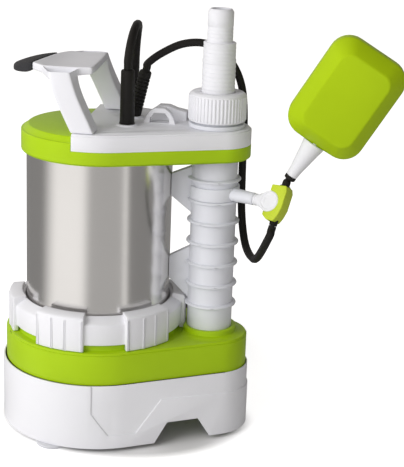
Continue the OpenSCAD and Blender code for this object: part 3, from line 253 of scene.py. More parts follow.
def mm(*values):
    """A point or a step given in millimetres."""
    return Vector(values)/1000


def clear():
    """Selects nothing."""
    bpy.ops.object.select_all(action="DESELECT")


def pick(thing):
    """Selects this piece alone and makes it the active one."""
    clear()
    thing.select_set(True)
    bpy.context.view_layer.objects.active = thing


# %% The float's cable
ENTRY_X, ENTRY_Y, RIM_TOP = 30, 21, 318.65
BOOT_LEAN = math.radians(14)
FLOAT_BOOT = 47
FLOAT_CABLE = 8
boot_way = Vector((math.sin(BOOT_LEAN), 0, math.cos(BOOT_LEAN)))
float_start = mm(ENTRY_X, ENTRY_Y, RIM_TOP) + FLOAT_BOOT/1000*boot_way

ARM_ANGLE, CLIP_TILT = math.radians(30), math.radians(28)
PIPE_X, ARM_Z, CLIP_REACH, CLIP_H, CABLE_Y = 116, 251.6, 77, 36, 1.4
CABLE_PAST_CLIP = 3
clip_up = Vector((math.sin(CLIP_TILT)*math.sin(ARM_ANGLE),
                  math.sin(CLIP_TILT)*math.cos(ARM_ANGLE), math.cos(CLIP_TILT)))
clip_front = Vector((-math.sin(ARM_ANGLE)*math.cos(CLIP_TILT),
                     -math.cos(ARM_ANGLE)*math.cos(CLIP_TILT), math.sin(CLIP_TILT)))
clip_middle = mm(PIPE_X + CLIP_REACH*math.cos(ARM_ANGLE), -CLIP_REACH*math.sin(ARM_ANGLE),
                 ARM_Z)
clip_cable_low = (clip_middle - (CLIP_H/2 + CABLE_PAST_CLIP)/1000*clip_up
                  - CABLE_Y/1000*clip_front)

float_route = [float_start + d/1000*boot_way for d in (0.05, 4, 8)]
float_route += [mm(*p) for p in [
    (56, 22, 382), (76, 24, 392), (97, 26, 394), (115, 27, 387), (129, 29, 371), (137, 32, 350),
    (140, 34, 322), (140.5, 34, 290), (141, 32, 260), (142, 27, 232), (145, 17, 210),
    (150, 2, 195), (157, -14, 189), (164, -28, 193)]]
float_route += [clip_cable_low - d/1000*clip_up for d in (12, 6, 0.9)]
float_line = between(float_route, 6)
float_cable = cable("float_cord", float_line, FLOAT_CABLE/1000)
pick(float_cable)
bpy.ops.object.convert(target="MESH")
float_cable = bpy.context.object
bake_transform(float_cable)
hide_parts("float_cable")
print("float cable", round(run_length(float_line), 3), "m")

# %% [markdown]
# ## The mains cable
# Such a pump comes with 10 m of cable. It rises out of its strain relief, falls behind the
# motor and ends in a coil on the floor: four layers of five turns that wind in, out, in and
# out again, held by two ties, with the plug beside them. One curve runs the whole way.

# %% The mains cable, from the lid to the plug
POWER_CABLE, POWER_BOOT = 8.4, 53
COIL_AT, COIL_R, COIL_TURNS, LAYERS = (25, 205), 98, 5, 4
LAYER_STEP = POWER_CABLE + 0.7
COIL_Z = POWER_CABLE/2 + 1.2
POINTS_PER_TURN = 36
PLUG_RUN, PLUG_R = 78, 17


def climb(x):
    """Rises from 0 to 1 over half a turn, so that a layer steps up on to the next."""
    return 0.0 if x < -0.25 else 1.0 if x > 0.25 else 0.5 + 0.5*math.sin(2*math.pi*x)


def coil_point(t):
    """The cable's middle after t turns of the coil."""
    layer, part = divmod(t/COIL_TURNS, 1)
    radius = COIL_R - LAYER_STEP*COIL_TURNS*(part if layer % 2 == 0 else 1 - part)
    height = COIL_Z + LAYER_STEP*sum(climb(t - k*COIL_TURNS) for k in range(1, LAYERS))
    angle = math.pi + 2*math.pi*t
    return mm(COIL_AT[0] + radius*math.cos(angle), COIL_AT[1] + radius*math.sin(angle),
              height)


turns = COIL_TURNS*LAYERS
power_start = mm(ENTRY_X, -ENTRY_Y, RIM_TOP + POWER_BOOT)
coil_exit = mm(COIL_AT[0] - COIL_R, COIL_AT[1], COIL_Z + (LAYERS - 1)*LAYER_STEP)
power_route = [power_start + mm(0, 0, d) for d in (0.05, 5, 10)]
power_route += [mm(*p) for p in [
    (31.3, -18.2, 394.3), (32.5, -10.3, 404.6), (33.3, 1.2, 410.6), (33.3, 14.2, 411.2),
    (32.3, 24, 407.6), (30.5, 32, 400.9), (28.3, 41, 389.7), (26, 52, 376), (24, 64, 361),
    (22, 77, 344.5), (21, 88, 310), (19, 95, 270), (12, 100, 228), (0, 104, 185), (-18, 109, 143),
    (-38, 117, 104), (-56, 129, 72), (-68, 145, 50)]]
power_route += [coil_exit + mm(*p) for p in [
    (-0.5, -40, 5), (0, -28, 0.8), (0, -16, 0), (0, -12, 0), (0, -POWER_CABLE, 0)]]
coil_line = [coil_point(turns - i/POINTS_PER_TURN) for i in range(turns*POINTS_PER_TURN + 1)]
lead = [coil_point(0) + mm(*p) for p in [
    (0, POWER_CABLE, 0), (0, 30, 0), (0, 50, 2), (0, PLUG_RUN - 12, 7),
    (0, PLUG_RUN + 1, PLUG_R - COIL_Z)]]
power_line = between(power_route, 5) + coil_line + between(lead, 4)
power_cable = cable("mains_cord", power_line, POWER_CABLE/1000)
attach(power_cable, "pump")
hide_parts("power_cable_run", "power_cable_coil")
print("mains cable", round(run_length(power_line), 3), "m")

# %% [markdown]
# ## Turned forms
# The plug, the strain reliefs, the hose tail, the float's neck and the can are all round. A
# lathe profile could be spun, but a ring that is extruded and resized step by step gives the
# same form with even strips, and the steps read like the cuts on a lathe: height, radius.

# %% A helper that turns a ring into a round form
def turned(name, steps, sides=64, center=(0, 0), closed=True):
    """A round form on an upright axis; steps are (height, radius) in mm, from one end on."""
    clear()
    first_z, first_r = steps[0]
    bpy.ops.mesh.primitive_circle_add(vertices=sides, radius=first_r/1000, fill_type="NOTHING",
                                      location=(center[0]/1000, center[1]/1000, first_z/1000))
    thing = bpy.context.object
    thing.name = thing.data.name = name
    bpy.ops.object.transform_apply(location=True, rotation=True, scale=True)
    bpy.ops.object.mode_set(mode="EDIT")
    bpy.ops.mesh.select_mode(type="VERT")
    bpy.ops.mesh.select_all(action="SELECT")
    z, r = first_z, first_r
    for next_z, next_r in steps[1:]:
        bpy.ops.mesh.extrude_region_move(
            TRANSFORM_OT_translate={"value": (0, 0, (next_z - z)/1000)})
        ratio = next_r/r
        bpy.ops.transform.resize(
            value=(ratio, ratio, 1),
            center_override=(center[0]/1000, center[1]/1000, next_z/1000))
        z, r = next_z, next_r
    if closed:
        bpy.ops.mesh.select_all(action="SELECT")
        bpy.ops.mesh.region_to_loop()
        bpy.ops.mesh.edge_face_add()
    bpy.ops.mesh.select_all(action="SELECT")
    bpy.ops.mesh.normals_make_consistent(inside=False)
    bpy.ops.object.mode_set(mode="OBJECT")
    return thing


def settle(thing, slot, body, *replaced, smooth=32):
    """Applies its place and modifiers, smooths it, gives it its finish and body, and hides the nodes it
    replaces.
    """
    pick(thing)
    bpy.ops.object.transform_apply(location=True, rotation=True, scale=True)
    for modifier in list(thing.modifiers):
        bpy.ops.object.modifier_apply(modifier=modifier.name)
    bpy.ops.object.shade_smooth_by_angle(angle=math.radians(smooth))
    thing.data.materials.clear()
    thing.data.materials.append(finishes[slot])
    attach(thing, body)
    if replaced:
        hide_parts(*replaced)
    print(thing.name, len(thing.data.polygons), "faces")
    return thing


def bevel(thing, width, segments=2, angle=30, clamp=True):
    """Rounds the edges sharper than the angle, to that width in mm."""
    modifier = thing.modifiers.new("edges", "BEVEL")
    modifier.width = width/1000
    modifier.segments = segments
    modifier.limit_method = "ANGLE"
    modifier.angle_limit = math.radians(angle)
    modifier.use_clamp_overlap = clamp
    return thing


def copy_of(node, name):
    """A copy of a node's solid, free of its body."""
    thing = nodes[node].copy()
    thing.data = nodes[node].data.copy()
    thing.name = thing.data.name = name
    thing.parent = None
    thing.matrix_world = Matrix.Identity(4)
    bpy.context.scene.collection.objects.link(thing)
    return thing


# %% [markdown]
# ## Plug and ties
# The plug is moulded round the cable: a tapered neck, a shoulder and a round body with a grip.
# It lies on its side, so it is turned upright at the origin and then laid down.

# %% The plug
plug_profile = [(0, 4.3), (0, 7), (3, 7.6), (3.6, 6.6), (5.4, 6.8), (6, 8.4), (9, 9.6), (9.6, 8.6),
                (11.4, 9), (12, 10.8), (14, 12), (14.5, 14), (17, 15.4), (20, 16.5), (21, 17),
                (25, 17), (25.6, 16.3), (27, 16.3), (27.6, 17), (29, 17), (29.6, 16.3), (31, 16.3),
                (31.6, 17), (36, 17), (37, 16)]
plug_at = coil_point(0) + mm(0, PLUG_RUN, 0)
plug = turned("mains_plug", plug_profile, 48)
plug.rotation_euler = (math.radians(-90), 0, 0)
plug.location = (plug_at.x, plug_at.y, PLUG_R/1000)
settle(plug, "cable_rubber", "pump", "power_plug")

# %% The cable ties
ties = copy_of("cable_ties", "coil_ties")
bevel(ties, 0.4)
settle(ties, "black_rubber", "pump", "cable_ties")
print("plug at", [round(v, 3) for v in plug_at])

# %% [markdown]
# ## Rounded mouldings
# No moulded edge is sharp: a plastic tool leaves at least half a millimetre of radius, and
# that radius is what catches the light. The solids have sharp edges, so each visible one is
# copied, its loose triangles are joined, flat areas are made one face again, and its sharp
# edges are bevelled. The copy then stands for the solid.

# %% A helper that copies a solid and rounds its edges
SAME_POINT, SAME_PLANE = 0.00002, math.radians(0.6)


def rounded(node, width, segments=2, angle=30, clamp=False):
    """The node's form as joined flat faces, with its edges rounded to that width in mm."""
    thing = copy_of(node, node + "_moulded")
    pick(thing)
    bpy.ops.object.mode_set(mode="EDIT")
    bpy.ops.mesh.select_all(action="SELECT")
    bpy.ops.mesh.remove_doubles(threshold=SAME_POINT)
    bpy.ops.mesh.dissolve_limited(angle_limit=SAME_PLANE)
    bpy.ops.object.mode_set(mode="OBJECT")
    bevel(thing, width, segments, angle, clamp)
    settle(thing, slot_of[node], body_of[node], node)


# %% Base, housing, cover and lid
rounded("base_strainer", 0.8, 3)
rounded("pump_housing", 0.9, 3)
rounded("top_cover", 0.9, 3)
rounded("lid", 0.3, 2, clamp=True)
rounded("lock_ring", 0.9, 3)
rounded("base_feet", 0.6, 2)

# %% [markdown]
# ## Pipe, nut and clip
# The riser's collars are round beads, and the nut's grip is forty-eight fine ribs. Both are in
# the solids already and only need their edges softened, by less on the small ribs.

# %% Riser, union nut and clip
rounded("discharge_pipe", 0.7, 3)
rounded("union_nut", 0.35, 2)
rounded("cable_clip", 0.9, 3)

# %% [markdown]
# ## Arm and swivel
# The float hangs off the pipe on an arm: an open ring that snaps round the pipe, a stub that
# narrows from a flat block to a round end, and a swivel whose neck flattens into a disc that
# the clip turns on. Each is turned upright at the origin and then laid along the arm.

# %% Helpers for the arm
ARM_L, ARM_D, RING_H, RING_OUT, PIPE_R = 49, 12.5, 13, 25.35, 22.75
FAN_T, FAN_R, FAN_BACK, CLIP_T, JOINT_GAP = 4, 10.5, 8.5, 14, 0.3
arm_at = mm(PIPE_X, 0, ARM_Z)
along_arm = Matrix.Translation(arm_at) @ Matrix.Rotation(-ARM_ANGLE, 4, "Z")
lie_down = Matrix.Rotation(math.radians(90), 4, "Y")


def flatten(thing, low, high, across, upward, shift=0.0):
    """Scales and shifts the ring of points between two heights, in mm."""
    for vertex in thing.data.vertices:
        if low < vertex.co.z*1000 < high:
            vertex.co.x *= upward
            vertex.co.y = vertex.co.y*across + shift/1000


def put(thing, matrix):
    """Lays a piece that was made at the origin in its place."""
    thing.matrix_world = matrix
    return thing


# %% Ring and stub
RING_ENDS, RING_STEPS = 125, 60
clear()
bpy.ops.mesh.primitive_plane_add(size=1, location=((PIPE_R + RING_OUT)/2000, 0, 0),
                                 rotation=(math.radians(90), 0, 0))
ring = bpy.context.object
ring.name = ring.data.name = "float_ring_band"
ring.scale = ((RING_OUT - PIPE_R)/1000, RING_H/1000, 1)
bpy.ops.object.transform_apply(location=True, rotation=True, scale=True)
bpy.ops.object.mode_set(mode="EDIT")
bpy.ops.mesh.select_all(action="SELECT")
bpy.ops.transform.rotate(value=math.radians(RING_ENDS), orient_axis="Z",
                         center_override=(0, 0, 0))
bpy.ops.mesh.spin(steps=RING_STEPS, angle=math.radians(-2*RING_ENDS), center=(0, 0, 0),
                  axis=(0, 0, 1))
bpy.ops.mesh.select_all(action="SELECT")
bpy.ops.mesh.normals_make_consistent(inside=False)
bpy.ops.object.mode_set(mode="OBJECT")
angles = sorted(math.degrees(math.atan2(v.co.y, v.co.x)) for v in ring.data.vertices)
print("ring from", round(angles[0]), "to", round(angles[-1]), "degrees")
bevel(ring, 0.6)
settle(put(ring, along_arm), "pipe_plastic", "pump", "float_ring")

STUB_R = 6.5
stub = turned("float_ring_stub", [
    (PIPE_R + 1, STUB_R), (PIPE_R + 3, STUB_R), (PIPE_R + 8, STUB_R), (ARM_L - 6, ARM_D/2),
    (ARM_L - 0.8, ARM_D/2), (ARM_L, ARM_D/2 - 0.8), (ARM_L, 4), (ARM_L - 6, 4)], 48)
flatten(stub, PIPE_R, PIPE_R + 4, 8/STUB_R, 1)
flatten(stub, PIPE_R + 7, PIPE_R + 9, 7.4/STUB_R, 1)
settle(put(stub, along_arm @ lie_down), "pipe_plastic", "pump", "float_ring")

# %% Swivel
tilted = along_arm @ Matrix.Rotation(-CLIP_TILT, 4, "X")
FAN_X = CLIP_REACH - FAN_BACK
fan_middle = -CLIP_T/2 + FAN_T/2
fan_edge = FAN_X - FAN_R
neck_start = ARM_L + JOINT_GAP
swivel = turned("swivel_neck", [
    (ARM_L - 9, 3.4), (neck_start - 0.05, 3.4), (neck_start, 5.4), (neck_start + 0.5, 5.9),
    (neck_start + 2.4, 5.9), (neck_start + 3, 5.4), (fan_edge + 2, 5.0),
    (fan_edge + 6, 5.0)], 48)
flatten(swivel, fan_edge + 1, fan_edge + 3, 0.42, 1.5, fan_middle + 0.4)
flatten(swivel, fan_edge + 5, fan_edge + 7, 0.36, 1.5, fan_middle)
settle(put(swivel, tilted @ lie_down), "white_shell", "float_clip", "swivel_plug")
fan = turned("swivel_disc", [
    (-FAN_T/2 + 0.05, 8.4), (-FAN_T/2 + 0.05, FAN_R - 0.7), (-FAN_T/2 + 0.7, FAN_R),
    (FAN_T/2 - 0.7, FAN_R), (FAN_T/2 - 0.05, FAN_R - 0.7), (FAN_T/2 - 0.05, FAN_R - 2.2),
    (FAN_T/2 - 0.6, FAN_R - 2.8)], 72)
fan_place = (Matrix.Translation(mm(FAN_X, fan_middle, 0))
             @ Matrix.Rotation(math.radians(90), 4, "X"))
settle(put(fan, tilted @ fan_place), "white_shell", "float_clip", "swivel_plug")

# %% [markdown]
# ## Handle and float
# The handle is one thick moulding whose corners are round enough to sit in a hand, and the
# float is blown, so both get wider radii than the shells.

# %% A slab from rows of points
def slab(name, rows, depth=0.01):
    """A slab whose points, in mm, are given row by row: (y, [(x, top, bottom), ...])."""
    clear()
    across = len(rows[0][1])
    bpy.ops.mesh.primitive_grid_add(x_subdivisions=across - 1, y_subdivisions=len(rows) - 1,
                                    size=2)
    thing = bpy.context.object
    thing.name = thing.data.name = name
    points = [(x, y, top, bottom) for y, row in rows for x, top, bottom in row]
    for vertex, (x, y, top, bottom) in zip(thing.data.vertices, points):
        vertex.co = mm(x, y, top)
    bpy.ops.object.mode_set(mode="EDIT")
    bpy.ops.mesh.select_all(action="SELECT")
    bpy.ops.mesh.extrude_region_move(TRANSFORM_OT_translate={"value": (0, 0, -depth)})
    bpy.ops.object.mode_set(mode="OBJECT")
    floor_of = {(round(x, 2), round(y, 2)): bottom for x, y, top, bottom in points}
    for vertex in thing.data.vertices:
        if vertex.select:
            key = (round(vertex.co.x*1000, 2), round(vertex.co.y*1000, 2))
            vertex.co.z = floor_of[key]/1000
    return thing


def leg(thing, low_y, high_y, rings):
    """Extrudes the underside between two rows; rings are (z, y, y, [x, x, x]) from the top."""
    for z, y1, y2, places in rings:
        bpy.ops.object.mode_set(mode="EDIT")
        bpy.ops.mesh.select_mode(type="FACE")
        if z == rings[0][0]:
            bpy.ops.mesh.select_all(action="DESELECT")
            bpy.ops.object.mode_set(mode="OBJECT")
            for face in thing.data.polygons:
                middle = face.center*1000
                face.select = low_y < middle.y < high_y and face.normal.z < -0.5
            bpy.ops.object.mode_set(mode="EDIT")
        bpy.ops.mesh.extrude_region_move(TRANSFORM_OT_translate={"value": (0, 0, -0.001)})
        bpy.ops.object.mode_set(mode="OBJECT")
        chosen = sorted((v for v in thing.data.vertices if v.select), key=lambda v: v.co.y)
        for y, row in ((y1, chosen[:3]), (y2, chosen[3:])):
            for x, vertex in zip(places, sorted(row, key=lambda v: v.co.x)):
                vertex.co = mm(x, y, z)


def close_up(thing, width):
    """Makes the normals point out, rounds the edges and smooths the whole."""
    bpy.ops.object.mode_set(mode="EDIT")
    bpy.ops.mesh.select_all(action="SELECT")
    bpy.ops.mesh.normals_make_consistent(inside=False)
    bpy.ops.object.mode_set(mode="OBJECT")
    bevel(thing, width)
    smoother = thing.modifiers.new("smoother", "SUBSURF")
    smoother.levels = smoother.render_levels = 2


# %% The handle
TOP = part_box("handle")[1][2]*1000
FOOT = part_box("handle")[0][2]*1000
handle = slab("handle_moulding", [
    (-67, [(-38, TOP - 2, TOP - 12), (-28, TOP - 1.5, TOP - 12), (-18, TOP - 2, TOP - 12)]),
    (-48, [(-48, TOP - 0.6, TOP - 9), (-30, TOP, TOP - 9.5), (-14, TOP - 0.8, TOP - 9.5)]),
    (-45.5, [(-50, TOP - 0.6, TOP - 9), (-34, TOP - 2, TOP - 9.5), (0, TOP - 0.5, TOP - 8)]),
    (-31, [(-62, TOP - 0.5, TOP - 9), (-39, TOP - 4, TOP - 9.5), (0.8, TOP, TOP - 8)]),
    (-10, [(-58.5, TOP - 0.3, TOP - 9.5), (-39, TOP - 5, TOP - 9.5), (0.5, TOP, TOP - 8)]),
    (12, [(-54.5, TOP - 0.3, TOP - 9.5), (-37, TOP - 5, TOP - 9.5), (0, TOP, TOP - 8)]),
    (34, [(-50, TOP - 0.3, TOP - 9.5), (-33, TOP - 4, TOP - 9.5), (-1, TOP, TOP - 8)]),
    (50, [(-41, TOP - 0.8, TOP - 10), (-24, TOP - 1.5, TOP - 10), (-2.5, TOP - 0.5, TOP - 10)]),
    (67, [(-32, TOP - 2, TOP - 12), (-19, TOP - 1.5, TOP - 12), (-6, TOP - 2, TOP - 12)])])
leg(handle, -67, -48, [(TOP - 20, -73.6, -48, [-34.4, -23, -11.4]),
                       (TOP - 40, -74, -48, [-25, -13.5, -2]), (FOOT, -74, -48, [-15.5, -4, 7.5])])
leg(handle, 50, 67, [(TOP - 20, 48, 73.6, [-23.4, -12, -0.4]),
                     (TOP - 40, 48, 74, [-14, -2.5, 9]), (FOOT, 48, 74, [-4.5, 7, 18.5])])
close_up(handle, 2.2)
settle(handle, "handle_plastic", "pump", "handle", smooth=60)

# %% The soft grip
SEAM = 0.3
grip_rows = [
    (-31, (-68, 5, 12), (-65, 2, 11), (-62, 0.8)), (-23, (-79, 6, 13), (-70, 2, 12), (-60.7, 0.7)),
    (-9, (-87, 8, 14), (-73, 2.4, 13), (-58.3, 0.6)), (8, (-87.5, 8, 14), (-72, 2.4, 13), (-55.2, 0.6)),
    (22, (-78, 5, 13), (-66, 1.5, 12), (-52.5, 0.6)), (34, (-58, 2, 11), (-54, 1.2, 10.5), (-50, 0.6))]
grip = slab("palm_grip", [
    (y, [(x1, TOP - t1, TOP - b1), (x2, TOP - t2, TOP - b2), (x3 - SEAM, TOP - t3, TOP - 9.5)])
    for y, (x1, t1, b1), (x2, t2, b2), (x3, t3) in grip_rows])
close_up(grip, 1.6)
settle(grip, "soft_grip", "pump", "handle_tip", smooth=60)

# %% Float shells
rounded("float_shell_front", 1.6, 3, 20)
rounded("float_shell_back", 1.6, 3, 20)

# %% [markdown]
# ## The motor can
# The can is one drawn sheet with a flange turned out at its foot. The flange is clamped under
# the lock ring, and only the wall shows, so the wall needs many sides: a mirror-like
# cylinder shows every flat.

# %% A helper for open profiles
def seamed(thing):
    """Joins the last ring of an open profile to its first."""
    weld = thing.modifiers.new("seam", "WELD")
    weld.merge_threshold = 0.00001
    return thing


# %% The can
can_low, can_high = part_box("motor_can")
CAN_R, CAN_SHEET, FLANGE_W, FLANGE_T = 73, 1.0, 6, 1.2
low, high = can_low[2]*1000, can_high[2]*1000
can = turned("motor_can_sheet", [
    (high, CAN_R - CAN_SHEET), (low, CAN_R - CAN_SHEET), (low, CAN_R + FLANGE_W),
    (low + FLANGE_T, CAN_R + FLANGE_W), (low + FLANGE_T, CAN_R + 0.5),
    (low + FLANGE_T + 0.5, CAN_R), (high, CAN_R), (high, CAN_R - CAN_SHEET)], 256, closed=False)
settle(seamed(can), "can_steel", "pump", "motor_can")

# %% [markdown]
# ## The hose tail
# The tail has two steps, for two sizes of hose. Each step carries fine saw-tooth barbs that
# let a hose slide on and not off, and a plain band at its end.

# %% The hose tail
def barbs(start, radius, count, pitch, depth):
    """Saw teeth that face down the tail: each rises slowly and drops at once."""
    cuts = []
    for i in range(count):
        z = start + i*pitch
        cuts += [(z, radius - depth), (z + 0.25, radius), (z + pitch - 0.05, radius - depth*0.9)]
    return cuts


tail_low, tail_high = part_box("hose_tail")
TAIL_BORE, TAIL_BIG, TAIL_BAND, TAIL_SMALL = 9.5, 16, 16.4, 12.6
FLANGE_R = 24.2
bottom, top = tail_low[2]*1000, tail_high[2]*1000
nut_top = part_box("union_nut")[1][2]*1000
tail_steps = [(top, TAIL_BORE), (bottom, TAIL_BORE), (bottom, FLANGE_R), (nut_top - 4.4, FLANGE_R),
              (nut_top - 4.3, TAIL_BAND), (nut_top + 3, TAIL_BAND)]
tail_steps += barbs(nut_top + 3, TAIL_BAND, 6, 4.2, 0.45)
tail_steps += [(nut_top + 28.6, TAIL_BAND), (nut_top + 32, TAIL_BAND),
               (nut_top + 32.3, TAIL_BIG)]
tail_steps += barbs(nut_top + 35, TAIL_BIG, 3, 3.6, 0.3)
tail_steps += [(nut_top + 47.8, TAIL_BIG), (nut_top + 48.5, TAIL_BIG - 0.7),
               (nut_top + 48.5, TAIL_SMALL)]
tail_steps += barbs(nut_top + 50, TAIL_SMALL, 4, 3.4, 0.35)
tail_steps += [(nut_top + 64, TAIL_SMALL), (top - 3, TAIL_SMALL), (top - 0.6, TAIL_SMALL - 1.5),
               (top, TAIL_SMALL - 2.1), (top, TAIL_BORE)]
tail = turned("hose_tail_barbed", tail_steps, 96, (PIPE_X, 0), closed=False)
settle(seamed(tail), "white_shell", "pump", "hose_tail", smooth=40)

# %% [markdown]
# ## Strain reliefs
# Rubber sleeves stop the cables from kinking where they leave the lid. The mains cable's is a
# plain tapered sleeve. The float cable's is cut into rings along its length, so that it bends.

# %% The strain reliefs
power_boot = turned("power_boot", [
    (RIM_TOP - 17.6, 6.8), (RIM_TOP, 6.8), (RIM_TOP, 7.6), (RIM_TOP + 1.2, 7.6), (RIM_TOP + 1.6, 7.2),
    (RIM_TOP + 40, 6.9), (RIM_TOP + POWER_BOOT - 1.5, 6.8), (RIM_TOP + POWER_BOOT - 0.3, 6.2),
    (RIM_TOP + POWER_BOOT, 5.4)], 48, (ENTRY_X, -ENTRY_Y))
settle(power_boot, "cable_rubber", "pump", "power_gland")

ring_steps = [(0, 6.8), (0, 7.6), (1.2, 7.6), (1.6, 7.0), (10, 6.9)]
for i in range(9):
    z, r = 10 + 3.6*i, 6.9 - 0.09*i
    ring_steps += [(z + 0.2, r - 1.1), (z + 1.1, r - 1.1), (z + 1.3, r), (z + 3.5, r)]
ring_steps += [(FLOAT_BOOT - 1, 6.0), (FLOAT_BOOT, 5.2)]
float_boot = turned("float_boot", ring_steps, 48)
float_boot.rotation_euler = (0, BOOT_LEAN, 0)
float_boot.location = (ENTRY_X/1000, ENTRY_Y/1000, RIM_TOP/1000)
settle(float_boot, "cable_rubber", "pump", "float_gland")

# %% [markdown]
# ## Neck of the float
# The neck is a white cone that grips the cable, with a black collar below it. It leans with
# the float, so it is turned upright and then leaned about the float's swing point. The collar
# has a foot that stays inside the cable's round end, so that no slit opens as the float swings.

# %% Neck and collar
swing = next(joint for joint in frame["record"]["behaviour"]["joints"]
             if joint["name"] == "float_swing")
FLOAT_LEAN = math.radians(31)
NECK_Z, NECK_L = 8.3, 39.5


def leaned(thing):
    """Leans a piece that was turned upright, about the swing point."""
    thing.rotation_euler = (0, FLOAT_LEAN, 0)
    thing.location = swing["pos_m"]
    return thing


neck = turned("float_neck_cone", [
    (NECK_Z, 4.02), (NECK_Z, 5.2), (NECK_Z + 0.5, 5.7), (NECK_Z + 8, 6.4), (NECK_Z + 30, 9.9),
    (NECK_Z + NECK_L - 3, 11.2), (NECK_Z + NECK_L - 1, 11), (NECK_Z + NECK_L - 0.3, 10.4),
    (NECK_Z + NECK_L - 0.3, 8), (NECK_Z + NECK_L + 6, 8)], 64)
settle(leaned(neck), "white_shell", "float", "float_neck")
collar = turned("float_collar_ring", [
    (2.4, 3), (4.35, 3.9), (4.35, 5.2), (4.8, 5.7), (7.7, 5.7), (8.2, 5.2), (8.2, 3)], 48)
settle(leaned(collar), "cable_rubber", "float", "float_collar")

# %% [markdown]
# ## Floor and light
# A plain studio: a white floor, one broad soft lamp low on the left, a weaker one on the right,
# and a pale world. The floor is seen by the camera a little brighter than it is lit, so that
# it fades into white and still keeps the pump's shadow; close round the pump that glow fades
# out, which paints a shadow round and under the base. The lens looks down on the can, so the
# upright steel shows the floor round it and not the sky. Glossy rays that reach the floor see
# painted reflections: panels set by their way round the pump, a wide soft box, a grey card and
# a narrow strip light, with dark on both sides, that glow for glossy rays alone and so show only in
# reflections.

# %% Helpers for both
def math_node(tree, operation, a, b):
    """A sum on two values or sockets."""
    node = tree.nodes.new("ShaderNodeMath")
    node.operation = operation
    for socket, value in zip(node.inputs, (a, b)):
        if isinstance(value, (int, float)):
            socket.default_value = value
        else:
            tree.links.new(value, socket)
    return node.outputs["Value"]


def ramp(tree, fac, stops):
    """Greys, a little warm, along a value from 0 to 1."""
    node = tree.nodes.new("ShaderNodeValToRGB")
    node.color_ramp.interpolation = "EASE"
    elements = node.color_ramp.elements
    for place, grey in stops:
        at_end = place in (0.0, 1.0)
        element = elements[0 if place == 0 else -1] if at_end else elements.new(place)
        element.color = (grey, grey*0.98, grey*0.96, 1)
    tree.links.new(fac, node.inputs["Fac"])
    return node.outputs["Color"]


def axes_of(tree, coords):
    """X, Y and Z of a coordinate, as sockets."""
    axes = tree.nodes.new("ShaderNodeSeparateXYZ")
    tree.links.new(coords, axes.inputs["Vector"])
    return [axes.outputs[axis] for axis in "XYZ"]


def way_round(tree, x, y):
    """The way round the pump, 0 to 1: 0.5 on the viewer's side, more towards the pipe."""
    angle = math_node(tree, "ARCTAN2", x, math_node(tree, "MULTIPLY", y, -1))
    return math_node(tree, "ADD", math_node(tree, "DIVIDE", angle, 2*math.pi), 0.5)


# %% Floor
FLOOR_GLOW, PAINTED_SHADOW_REACH, GLOW_REACH = 0.75, 0.090, 0.112
bpy.ops.mesh.primitive_plane_add(size=30, location=(0, 0, 0))
floor = bpy.context.object
floor.name = "floor"
floor_paint = bpy.data.materials.new("floor_paint")
floor_paint.use_nodes = True
tree = floor_paint.node_tree
floor_shader = tree.nodes["Principled BSDF"]
floor_shader.inputs["Base Color"].default_value = (0.88, 0.88, 0.89, 1)
floor_shader.inputs["Roughness"].default_value = 0.9
floor_shader.inputs["Emission Color"].default_value = WHITE
ray = tree.nodes.new("ShaderNodeLightPath")
floor_coords = tree.nodes.new("ShaderNodeTexCoord")
from_pump = tree.nodes.new("ShaderNodeMapping")
from_pump.inputs["Location"].default_value = (-0.024, 0, 0)
from_pump.inputs["Scale"].default_value = (0.8, 1, 1)
tree.links.new(floor_coords.outputs["Object"], from_pump.inputs["Vector"])
away = tree.nodes.new("ShaderNodeVectorMath")
away.operation = "LENGTH"
tree.links.new(from_pump.outputs["Vector"], away.inputs[0])
# The camera's glow is nothing close to the pump and rises to full at the outer reach: a painted shadow
# round and under the base.
glow = tree.nodes.new("ShaderNodeMapRange")
glow.interpolation_type = "SMOOTHSTEP"
for name, value in (("From Min", PAINTED_SHADOW_REACH), ("From Max", GLOW_REACH), ("To Min", 0.0),
                    ("To Max", FLOOR_GLOW)):
    glow.inputs[name].default_value = value
tree.links.new(away.outputs["Value"], glow.inputs["Value"])
tree.links.new(math_node(tree, "MULTIPLY", ray.outputs["Is Camera Ray"], glow.outputs["Result"]),
               floor_shader.inputs["Emission Strength"])
floor_x, floor_y, _ = axes_of(tree, floor_coords.outputs["Object"])
turn = way_round(tree, floor_x, floor_y)
# Painted reflections: panels that the floor shows to glossy rays only, with these brightnesses; no lamp
# stands there.
panels = tree.nodes.new("ShaderNodeEmission")
DARK_SIDE, SOFT_BOX, GREY_CARD, STRIP = 0.25, 1.0, 0.45, 0.9
tree.links.new(ramp(tree, turn, [
    (0.0, DARK_SIDE), (0.25, DARK_SIDE), (0.35, SOFT_BOX), (0.45, SOFT_BOX), (0.50, GREY_CARD),
    (0.62, GREY_CARD), (0.64, STRIP), (0.66, DARK_SIDE), (1.0, DARK_SIDE)]), panels.inputs["Color"])
mixed = tree.nodes.new("ShaderNodeMixShader")
tree.links.new(ray.outputs["Is Glossy Ray"], mixed.inputs["Fac"])
tree.links.new(floor_shader.outputs["BSDF"], mixed.inputs[1])
tree.links.new(panels.outputs["Emission"], mixed.inputs[2])
tree.links.new(mixed.outputs["Shader"], tree.nodes["Material Output"].inputs["Surface"])
floor_paint.cycles.emission_sampling = "NONE"
floor.data.materials.append(floor_paint)
print("floor", tuple(floor.dimensions[:2]))

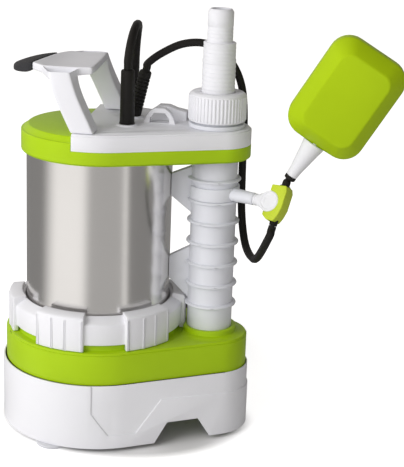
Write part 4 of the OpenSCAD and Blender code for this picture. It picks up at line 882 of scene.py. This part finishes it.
# %% World
world = bpy.data.worlds.new("studio")
bpy.context.scene.world = world
world.use_nodes = True
tree = world.node_tree
sky_coords = tree.nodes.new("ShaderNodeTexCoord")
sky_x, sky_y, sky_z = axes_of(tree, sky_coords.outputs["Generated"])
turn = way_round(tree, sky_x, sky_y)
rise = math_node(tree, "ADD", math_node(tree, "MULTIPLY", sky_z, 0.5), 0.5)
dome = tree.nodes.new("ShaderNodeMix")
dome.data_type = "RGBA"
dome.blend_type = "MULTIPLY"
dome.inputs["Factor"].default_value = 1
tree.links.new(ramp(tree, turn, [
    (0.0, 0.45), (0.25, 0.95), (0.45, 0.88), (0.60, 0.48), (0.75, 0.20), (0.90, 0.28),
    (1.0, 0.45)]), dome.inputs["A"])
tree.links.new(ramp(tree, rise, [(0.0, 0.8), (0.5, 1.0), (0.62, 0.85), (1.0, 0.55)]),
               dome.inputs["B"])
ray = tree.nodes.new("ShaderNodeLightPath")
shown = tree.nodes.new("ShaderNodeMix")
shown.data_type = "RGBA"
tree.links.new(ray.outputs["Is Camera Ray"], shown.inputs["Factor"])
tree.links.new(dome.outputs["Result"], shown.inputs["A"])
shown.inputs["B"].default_value = WHITE
tree.links.new(shown.outputs["Result"], tree.nodes["Background"].inputs["Color"])
tree.nodes["Background"].inputs["Strength"].default_value = 1.0
print("world", len(tree.nodes), "nodes")

# %% Lamps
def lamp(name, azimuth, elevation, distance, size, watts):
    """A square soft lamp that looks at the pump; azimuth 0 is in front, more to the right."""
    data = bpy.data.lights.new(name, "AREA")
    data.shape = "RECTANGLE"
    data.size, data.size_y = size
    data.energy = watts
    thing = bpy.data.objects.new(name, data)
    bpy.context.scene.collection.objects.link(thing)
    a, e = math.radians(azimuth), math.radians(elevation)
    way = Vector((math.sin(a)*math.cos(e), -math.cos(a)*math.cos(e), math.sin(e)))
    thing.location = VIEW_TARGET + distance*way
    thing.rotation_euler = way.to_track_quat("Z", "Y").to_euler()
    thing.visible_glossy = False
    print(name, "lamp", watts, "W")


lamp("key", -42, 26, 1.7, (1.0, 1.2), 16.0)
lamp("fill", 20, 8, 1.9, (1.2, 1.2), 2.2)
bpy.context.scene.view_settings.view_transform = "Standard"
